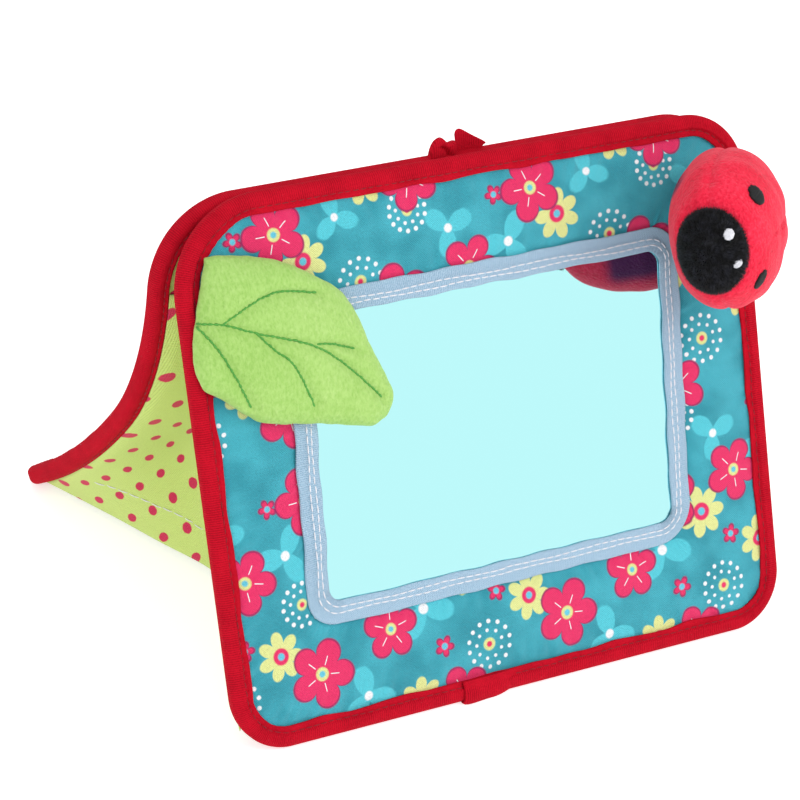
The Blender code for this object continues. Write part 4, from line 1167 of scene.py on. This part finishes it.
def makeTapeFold():
    # the spare tape's fold, a soft hump on the top edge with a pinch at its right foot
    loop = smoothPath(tailSetup["foldShape"], 8, closed=True)
    outline = np.stack([tailSetup["start"] + loop[:, 0] * tailSetup["foldLength"],
                        backLength + loop[:, 1] * tailSetup["foldHeight"]], 1)
    middle = outline.mean(0)
    share = np.sin(np.linspace(1, 0.04, 14) * math.pi / 2)
    between = shrunk(outline, middle, share)
    x = (between[..., 0] - tailSetup["start"]) / tailSetup["foldLength"]
    v = (between[..., 1] - backLength) / tailSetup["foldHeight"]
    pinch = distanceToPath(np.stack([x, v], -1), np.array(tailSetup["pinch"]))
    crown = tailSetup["depth"] * 0.36 * np.sqrt(np.maximum(1 - share ** 4, 0))[None]
    crown = crown * (1 - 0.3 * np.clip(x - 0.5, 0, 1)) - 0.0011 * bell(pinch, 0.09)
    crown = crown + 0.0004 * np.sin(x * 7.0 + v * 2.0)
    level = layers["depth"] * 0.5
    skins = [np.maximum(crown, -0.0008) + 0.0003, -np.maximum(crown * 0.8, 0) - 0.0003]
    points = twoSkins(*(onBack(between[..., 0], between[..., 1], level - skin) for skin in skins))
    cloth = twoSkins(between, between) - middle + 0.006
    piece = makeBody("topTapeFold", points, cloth, [finishes["tape"]], closeRows=True, caps="centres")
    ride(piece, "back_upper", "red_tape", "top_tape_fold")


def makeTapeEnd():
    # the flat cut end beside the fold: highest at its left, slanting down to the right
    loop = smoothPath(tailSetup["endShape"], 6, closed=True)
    left = tailSetup["start"] + tailSetup["foldLength"] + tailSetup["space"]
    outline = np.stack([left + loop[:, 0] * tailSetup["endLength"],
                        backLength + loop[:, 1] * tailSetup["endHeight"]], 1)
    middle = outline.mean(0)
    between = shrunk(outline, middle, np.array([1.0, 0.98, 0.9, 0.75, 0.5, 0.2]))
    curl = 0.0012 * np.sin((between[..., 0] - left) / tailSetup["endLength"] * 4.0)
    level = layers["depth"] * 0.7 + curl
    half = tailSetup["cloth"] / 2 * np.array([0.3, 0.85, 1, 1, 1, 1])[None]
    points = twoSkins(*(onBack(between[..., 0], between[..., 1], level + rise) for rise in (half, -half)))
    cloth = twoSkins(between, between) - middle + 0.005
    piece = makeBody("topTapeEnd", points, cloth, [finishes["tape"]], closeRows=True, caps="centres")
    ride(piece, "back_upper", "red_tape", "top_tape_end")


makeTapeFold()
makeTapeEnd()


# Side gussets: cloth walls between the panels, folded inwards

gussetSetup = {"top": 0.034, "last": 0.1965, "frontInset": 0.005, "backInset": 0.0075, "apex": 0.012, "depth": 0.036,
               "fold": 0.12, "cloth": 0.0007, "wave": 0.0007, "columns": 121, "rows": 110, "keep": 0.012,
               "flatFrom": 0.115, "turnIn": (5.0, 2.2), "tuck": (0.0012, 0.0009, 0.0014), "row": (0.171, 0.008),
               "dotsAcross": (8.54, -0.49, -11.49, 6.63), "dotsUp": (-4.21, 2.22, 4.35, 2.74)}
gussetStitch = {"pitch": 0.0050, "length": 0.0042, "thread": 0.00055, "rise": 0.0003, "sink": 0.0001,
                "wander": 0.0003, "seed": 9}
gussetLift = -tapeOut - layers["gap"] - gussetSetup["cloth"] / 2


def gussetEnds(side, down, rearTuck=0.0, foreTuck=0.0):
    # both edges turn in beside the panels' binding
    setup = gussetSetup
    longer = (back["height"] - front["height"]) * (down - setup["top"]) / (setup["last"] - setup["top"])
    aside, lift, _ = setup["tuck"]
    rear = onBack(side * (back["width"] / 2 - setup["backInset"] + aside * rearTuck), back["height"] - down - longer,
                  gussetLift + lift * rearTuck)
    fore = onFront(side * (front["width"] / 2 - setup["frontInset"] + aside * 0.5 * foreTuck), front["height"] - down,
                   gussetLift + lift * 0.3 * foreTuck)
    return rear, fore


def gussetHalf(side, down):
    # half the cloth's length across at a depth below the top edge
    setup = gussetSetup
    rear, fore = gussetEnds(side, np.asarray(setup["last"]))
    reach = math.hypot(setup["depth"], np.linalg.norm(fore - rear) / 2)
    return reach * (down - setup["apex"]) / (setup["last"] - setup["apex"])


def gussetPlace(side, share, down):
    # higher up, the cloth lies along the back's lining before it turns forward
    setup = gussetSetup
    share, down = np.broadcast_arrays(np.asarray(share, float), np.asarray(down, float))
    half = gussetHalf(side, down)
    tuckWide = setup["tuck"][2]
    rear, fore = gussetEnds(side, down, bell(2 * share * half, tuckWide), bell(2 * (1 - share) * half, tuckWide))
    bareRear, bareFore = gussetEnds(side, down)
    halfGap = np.linalg.norm(bareFore - bareRear, axis=-1) / 2
    depth = np.sqrt(np.maximum(half ** 2 - halfGap ** 2, layers["gap"] ** 2))
    soft = setup["fold"]
    fold = (math.hypot(1, soft) - np.hypot(2 * share - 1, soft)) / (math.hypot(1, soft) - soft)
    bow = np.clip((setup["last"] - down) / (setup["last"] - setup["flatFrom"]), 0, 1)
    bow = eased(bow) * (share < 0.5)
    along = np.clip(2 * share, 0, 1)
    late, early = setup["turnIn"]
    forward = (1 - bow) * share + bow * along ** late / 2
    inward = (1 - bow) * fold + bow * (1 - (1 - along) ** early)
    wavy = lumps(2 * share * half, down, 0.045, 91) * setup["wave"] * np.sin(math.pi * share)
    wavy = wavy * (1 - bow * (along < 0.7))
    points = rear + (fore - rear) * forward[..., None]
    points[..., 0] -= side * (depth * inward + wavy)
    return points


def gussetNormal(side, share, down):
    step = 0.002
    along = gussetPlace(side, share + step, down) - gussetPlace(side, share - step, down)
    lower = gussetPlace(side, share, down + 0.001) - gussetPlace(side, share, down - 0.001)
    normal = unit(np.cross(along, lower))
    return normal * np.where(normal[..., :1] * side > 0, 1.0, -1.0)


def gussetCloth(share, down):
    # the dots' rows, which run slanting from the back edge towards the crease
    across, low = 2 * share, (down - gussetSetup["top"]) / (gussetSetup["last"] - gussetSetup["top"])
    rows = (gussetSetup["dotsAcross"], gussetSetup["dotsUp"])
    i, j = (a + b * across + c * low + d * across * low for a, b, c, d in rows)
    turn, pitch = math.radians(dotSetup["turn"]), dotSetup["pitch"] / 1000
    x, y = i * math.cos(turn) - j * math.sin(turn), i * math.sin(turn) + j * math.cos(turn)
    return np.stack([x, y], -1) * pitch


def makeGusset(name, side):
    setup = gussetSetup
    share = np.linspace(0, 1, setup["columns"])[None]
    down = np.linspace(setup["top"], setup["last"], setup["rows"])[:, None]
    share, down = np.broadcast_arrays(share, down)
    middle, normal = gussetPlace(side, share, down), gussetNormal(side, share, down)
    marks = gussetCloth(share, down)
    hem = np.clip((setup["last"] - down) / 0.0008, 0, 1)[..., None]
    thick = setup["cloth"] / 2 * (0.4 + 0.6 * hem)
    points = np.concatenate([middle + normal * thick, (middle - normal * thick)[:, ::-1]], 1)
    cloth = np.concatenate([marks, marks[:, ::-1]], 1)
    piece = makeBody(name, points, cloth, [finishes["dots"]], closeColumns=True, caps="ends")
    ride(piece, "front_panel", "dotted_cotton", "gusset_left" if side < 0 else "gusset_right")
    inward = np.linspace(0.06, 0.94, 90)
    level = setup["row"][0] + setup["row"][1] * np.minimum(2 * inward, 2 - 2 * inward)
    where, normals = gussetPlace(side, inward, level), gussetNormal(side, inward, level)
    row = stitchRow(f"{name}Stitches", where + normals * setup["cloth"] / 2, normals, gussetStitch,
                    finishes["whiteThread"])
    ride(row, "front_panel", "dotted_cotton")
    anchor = tuple(onFlat(0.0, 0.1, -tapeOut - layers["gap"]))
    for soft in (piece, row):
        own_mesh(soft)


makeGusset("leftGusset", -1)
makeGusset("rightGusset", 1)
print("side gussets made")


# Leaf

leafSetup = {
    "left": -0.1225, "loft": 0.0085, "level": 0.0023,
    "outline": ((-111.6, 185.5), (-97.0, 183.4), (-82.2, 178.7), (-67.7, 170.0), (-60.5, 164.3), (-55.0, 154.8),
                (-51.0, 142.9), (-46.2, 131.2), (-43.7, 123.6), (-44.8, 118.5), (-49.1, 114.4), (-54.8, 112.9),
                (-74.3, 117.4), (-95.7, 121.5), (-104.4, 126.5), (-111.7, 132.7), (-118.7, 137.7), (-121.5, 143.7),
                (-121.9, 152.8), (-119.8, 162.3), (-116.8, 172.6), (-113.5, 182.6)),
    "veins": (
        ((-123, 163), (-111, 161), (-99, 156), (-78, 148), (-63, 137), (-50, 123)),
        ((-111, 161), (-99, 167), (-87, 169), (-72, 166)),
        ((-76, 148), (-70, 147), (-59, 143)),
        ((-120, 162), (-113, 151), (-103, 129)),
        ((-99, 156), (-92, 148), (-86, 142), (-78, 125)),
    ),
    "channel": 0.0024, "channelWide": 0.0022, "rim": 0.004, "rimWave": 0.007, "plump": 0.0011, "seat": 0.0006,
    "wave": 0.1, "waveLength": 0.03, "stitchHalf": 0.0013, "pressure": 25.0, "most": 0.0015,
}
veinStitch = {"pitch": 0.0022, "length": 0.0024, "thread": 0.0009, "rise": 0.00025, "sink": 0.0001,
              "wander": 0.00015, "seed": 12}


def makeLeaf():
    loop = smoothPath(np.array(leafSetup["outline"]) / 1000, 11, closed=True)
    middle = loop.mean(0)
    lengths = pathLengths(loop, True)
    rim = 1 + ripple(lengths[:-1], lengths[-1], leafSetup["rimWave"], 101) * leafSetup["rim"]
    loop = middle + (loop - middle) * rim[:, None]
    ring = np.sin(np.linspace(0.03, 1, 46) * math.pi / 2)
    between = shrunk(loop, middle, ring)
    veins = [smoothPath(np.array(vein) / 1000, 8) for vein in leafSetup["veins"]]
    away = np.min([distanceToPath(between, vein) for vein in veins], 0)
    dome = np.sqrt(np.maximum(1 - ring ** 3, 0))[None]
    quilt = np.exp(-(away / leafSetup["channelWide"]) ** 1.4)
    uneven = lumps(between[..., 0], between[..., 1], leafSetup["waveLength"], 102)
    height = leafSetup["loft"] * dome * (1 + leafSetup["wave"] * uneven)
    height = height - np.minimum(leafSetup["channel"] * quilt, height * 0.5)
    level = layers["depth"] + leafSetup["level"]
    top = onFlat(between[..., 0], between[..., 1], level + leafSetup["plump"] + height)
    low = onFlat(between[..., 0], between[..., 1], np.broadcast_to(level + leafSetup["seat"] * ring ** 8, height.shape))
    points = np.concatenate([top, low[:, ::-1]], 1)
    cloth = np.concatenate([between, between[:, ::-1]], 1)
    piece = makeBody("leafBody", points, cloth, [finishes["leaf"]], closeRows=True, caps="centres")
    held = np.zeros(points.shape[:2])
    held[:, :ring.size] = np.clip(1.3 - away / leafSetup["stitchHalf"], 0, 1)
    held[:, ring.size - 2:] = 1.0
    held = np.concatenate([held.ravel(), [0.0, 1.0]])
    puff(piece, held, leafSetup["pressure"], leafSetup["most"])
    surface = surfaceOf(piece)
    ride(piece, "leaf", "green_velour", "leaf_top", "leaf_underside", "leaf_wadding")
    for number, vein in enumerate(veins):
        vein = vein[vein[:, 0] > leafSetup["left"] + 0.001]
        dense = smoothPath(vein, 4)
        where, normals = offPlace(onFlat, dense[:, 0], dense[:, 1], level + 0.006)
        where, normals = settle(surface, where, normals, 0.02)
        stitches = stitchRow(f"leafVein{number + 1}", where, normals, dict(veinStitch, seed=12 + number),
                             finishes["greenThread"])
        ride(stitches, "leaf", "green_velour")
    return piece


makeLeaf()
print("leaf made")


# Ladybird

bugSetup = {"length": 0.078, "width": 0.060, "back": 0.0218, "belly": 0.0208, "roundness": 2.05,
            "middle": (0.091, 0.04262, 0.16244), "tilt": 45.0, "headDrop": 5.2,
            "headWidth": 0.0386, "headDepth": 0.0323, "headBulge": 0.004, "seam": 0.0011, "seamWide": 0.0013,
            "girth": 0.026, "rimDent": (0.0016, 0.0026), "cheekDent": (0.0013, 0.0022), "tailDent": (0.0010, 0.003),
            "headSink": 0.0014, "wave": 0.00045, "waveLength": 0.02, "pressure": 20.0, "most": 0.0010}
tilt, headDrop = math.radians(bugSetup["tilt"]), math.radians(bugSetup["headDrop"])
bugMiddle = np.array(bugSetup["middle"])
bugAhead = unit((frontOut * math.sin(tilt) - acrossAxis * math.cos(tilt)) * math.cos(headDrop)
                - frontUp * math.sin(headDrop))
bugBack = frontOut * math.cos(tilt) + acrossAxis * math.sin(tilt)
bugSide = unit(np.cross(bugAhead, bugBack))
bugSide = bugSide if bugSide @ frontUp > 0 else -bugSide


def headShare(turn, angle):
    reach = np.tan(np.minimum(turn, 1.5)) * bugSetup["length"] / 2
    return reach * np.hypot(np.cos(angle) / (bugSetup["headDepth"] / 2), np.sin(angle) / (bugSetup["headWidth"] / 2))


def headRim(angle, share=1.0):
    reach = bugSetup["length"] / 2 * np.hypot(np.cos(angle) / (bugSetup["headDepth"] / 2),
                                              np.sin(angle) / (bugSetup["headWidth"] / 2))
    return np.arctan(share / reach)


def bugPoint(turn, angle, lift=0.0):
    # a place on the body: turn from the head's middle, angle round from the back
    turn, angle, lift = np.broadcast_arrays(*(np.asarray(a, float) for a in (turn, angle, lift)))
    ahead, away = np.cos(turn), np.sin(turn)
    backward, side = away * np.cos(angle), away * np.sin(angle)
    depth = np.where(backward > 0, bugSetup["back"], bugSetup["belly"])
    power = bugSetup["roundness"]
    total = (np.abs(ahead / (bugSetup["length"] / 2)) ** power + np.abs(backward / depth) ** power
             + np.abs(side / (bugSetup["width"] / 2)) ** power)
    radius = total ** (-1 / power) + lift
    direction = (np.multiply.outer(ahead, bugAhead) + np.multiply.outer(backward, bugBack)
                 + np.multiply.outer(side, bugSide))
    return bugMiddle + direction * radius[..., None]


def headBulge(turn, angle):
    share = headShare(turn, angle)
    return np.where(share < 1, bugSetup["headBulge"] * (1 - share ** 2), 0.0)


def makeBugBody():
    angle = (2 * math.pi * np.arange(176) / 176)[:, None]
    rim = headRim(angle)
    toRim = np.linspace(0.08, 1, 9)[None, :-1]
    fromRim = np.linspace(0, 1, 96)[None]
    last = math.pi - 0.012
    turn = np.concatenate([rim * toRim, rim + (last - rim) * fromRim], 1)
    angles = np.broadcast_to(angle, turn.shape)
    around = bugSetup["girth"] * np.sin(turn)
    dent = np.zeros_like(turn)
    run = turn * 0.033
    nearest = np.full_like(turn, 1e9)
    backSeam = np.clip((turn - 0.8) / 0.6, 0, 1) * 0.45
    for seamAt in (0.0, math.pi / 2, 3 * math.pi / 2, 2 * math.pi):
        far = around * np.abs(angles - seamAt)
        shown = backSeam if seamAt in (0.0, 2 * math.pi) else 1.0
        dent = np.minimum(dent, -bugSetup["seam"] * shown * np.exp(-(far / bugSetup["seamWide"]) ** 1.3))
        nearest = np.minimum(nearest, far + 0.004 * (1 - shown))
    atRim = np.abs(turn - rim) * 0.036
    deep, wide = bugSetup["rimDent"]
    dent = dent - deep * np.exp(-(atRim / wide) ** 1.4)
    dent = dent - bugSetup["headSink"] * (turn < rim)
    pinch = np.hypot(around * (angles - math.pi / 2), (turn - rim - 0.34) * 0.034)
    for near, (deep, wide) in ((pinch, bugSetup["cheekDent"]), ((math.pi - turn) * 0.03, bugSetup["tailDent"])):
        dent = dent - deep * bell(near, wide)
    dent = dent + bugSetup["wave"] * lumps(angles * bugSetup["girth"], run, bugSetup["waveLength"], 112)
    points = bugPoint(turn, angles, dent)
    around = np.concatenate([angles, angles[:1] + 2 * math.pi]) * bugSetup["girth"]
    cloth = np.stack([around, np.concatenate([run, run[:1]])], -1)
    piece = makeBody("ladybirdBody", points, cloth, [finishes["plush"]], closeRows=True, caps="centres")
    held = np.clip(1.25 - np.minimum(nearest, atRim) / 0.0022, 0, 1)
    held = np.where(turn < rim, 1.0, held)
    held = np.concatenate([held.ravel(), [1.0, 1.0]])
    puff(piece, held, bugSetup["pressure"], bugSetup["most"])
    ride(piece, "ladybird", "red_plush", "ladybird_shell_left", "ladybird_shell_right", "ladybird_belly",
         "ladybird_stuffing")
    return piece


def makeBugHead():
    angle = (2 * math.pi * np.arange(96) / 96)[:, None]
    share = np.linspace(0.06, 1.0, 18)[None]
    turn = headRim(angle, 1.0) * share
    angles = np.broadcast_to(angle, turn.shape)
    lift = bugSetup["headBulge"] * (1 - share ** 2) + 0.0003 * lumps(angles * 0.01, turn * 0.03, 0.006, 121)
    top = bugPoint(turn, angles, lift - 0.0006 * share ** 6)
    under = bugPoint(turn, angles, np.broadcast_to(lift - 0.0011 - 0.0006 * share ** 6, turn.shape))
    points = np.concatenate([top, under[:, ::-1]], 1)
    flat = np.stack([turn * np.cos(angles), turn * np.sin(angles)], -1) * 0.036
    cloth = np.concatenate([flat, flat[:, ::-1]], 1)
    piece = makeBody("ladybirdHead", points, cloth, [finishes["fur"]], closeRows=True, caps="centres")
    ride(piece, "ladybird", "black_fur", "ladybird_head")
    return piece


furSetup = {"count": 9000, "length": (0.0016, 0.0031), "root": 0.00011, "lean": 0.75, "seed": 131}


def makeHeadFur():
    draw = np.random.default_rng(furSetup["seed"])
    count = furSetup["count"]
    share = np.sqrt(draw.uniform(0, 0.98, count))
    angle = draw.uniform(0, 2 * math.pi, count)
    turn = headRim(angle, share)
    small = 0.004

    def surface(t, a):
        return bugPoint(t, a, headBulge(t, a) - 0.0003)

    root = surface(turn, angle)
    outward = unit(surface(turn + small, angle) - root)
    around = unit(surface(turn, angle + small / np.maximum(np.sin(turn), 0.02)) - root)
    normal = np.cross(outward, around)
    normal *= np.sign(np.einsum("ij,ij->i", normal, root - bugMiddle))[:, None]
    lean = furSetup["lean"] * (0.35 + 0.8 * share)[:, None]
    comb = outward * lean + around * draw.normal(0, 0.35, (count, 1)) + draw.normal(0, 0.16, (count, 3))
    length = draw.uniform(*furSetup["length"], (count, 1)) * (1 - 0.5 * share[:, None] ** 3)
    first = unit(normal + comb * 0.6)
    second = unit(normal * 0.55 + comb)
    bend = root + first * length * 0.5
    tip = bend + second * length * 0.5
    aside = np.cross(first, around)
    rings = []
    for place, thick in ((root, 1.0), (bend, 0.75)):
        for k in range(3):
            turned = around * math.cos(2.094 * k) + aside * math.sin(2.094 * k)
            rings.append(place + turned * furSetup["root"] * thick)
    vertices = np.stack([*rings, tip], 1).reshape(-1, 3)
    one = [(0, 1, 4, 3), (1, 2, 5, 4), (2, 0, 3, 5), (3, 4, 6), (4, 5, 6), (5, 3, 6), (2, 1, 0)]
    faces = [[k + 7 * n for k in face] for n in range(count) for face in one]
    mesh = bpy.data.meshes.new("ladybirdFur")
    mesh.from_pydata(vertices.tolist(), [], faces)
    mesh.materials.append(finishes["fur"])
    piece = linkPiece("ladybirdFur", mesh)
    ride(piece, "ladybird", "black_fur")


def makePatch(name, turn, angle, size, tall, twist, rise, material, slotName, node):
    # a small stitched or sewn-on patch that follows the body
    centre = bugPoint(turn, angle)
    ahead = unit(bugPoint(turn + 0.01, angle) - centre)
    normal = unit(bugPoint(turn, angle, 0.001) - centre)
    aside = np.cross(normal, ahead)
    heading = (2 * math.pi * np.arange(40) / 40)[:, None]
    ring = np.linspace(0.1, 1, 9)[None]
    ragged = 1 + 0.05 * ripple(heading, 2 * math.pi, 0.7, 17)
    across = np.cos(heading) * ring * size / 2 * ragged
    up = np.sin(heading) * ring * tall / 2 * ragged
    c, s = math.cos(twist), math.sin(twist)
    flat = centre + np.multiply.outer(across * c - up * s, ahead) + np.multiply.outer(across * s + up * c, aside)
    threads = 0.12 * np.sin(up / tall * 2 * math.pi * 9)
    domed = rise * np.sqrt(np.maximum(1 - ring ** 4, 0)) * (1 + threads)

    def lay(lift):
        direction = unit(flat - bugMiddle)
        parts = [direction @ axis for axis in (bugAhead, bugBack, bugSide)]
        t, a = np.arccos(np.clip(parts[0], -1, 1)), np.arctan2(parts[2], parts[1])
        return bugPoint(t, a, lift + headBulge(t, a))

    points = np.concatenate([lay(domed + 0.0002), lay(np.full_like(domed, -0.0006))[:, ::-1]], 1)
    marks = np.stack([across, up], -1)
    cloth = np.concatenate([marks, marks[:, ::-1]], 1)
    piece = makeBody(name, points, cloth, [material], closeRows=True, caps="centres")
    ride(piece, "ladybird", slotName, node)


makeBugBody()
makeBugHead()
makeHeadFur()
eyeSetup = {"left": (15.63, 41.59, 0.0046, 0.0042), "right": (16.09, -23.01, 0.0040, 0.0029)}
spotSetup = {"front_left": (52.46, 45.42, 0.0080, 0.0088), "front_right": (43.95, -44.85, 0.0058, 0.0088),
             "rear_left": (145.0, 42.0, 0.0082, 0.0082), "rear_right": (145.0, -42.0, 0.0082, 0.0082)}
for name in ("left", "right"):
    turn, angle, size, tall = eyeSetup[name]
    makePatch(f"ladybirdEye_{name}", math.radians(turn), math.radians(angle), size, tall, 0.5, 0.0022,
              finishes["whiteThread"], "white_thread", f"ladybird_eye_{name}")
    for place in ("front", "rear"):
        turn, angle, size, tall = spotSetup[f"{place}_{name}"]
        makePatch(f"ladybirdSpot_{place}_{name}", math.radians(turn), math.radians(angle), size, tall, 0.0,
                  0.0007, finishes["felt"], "black_fur", f"ladybird_spot_{place}_{name}")
print("ladybird made")
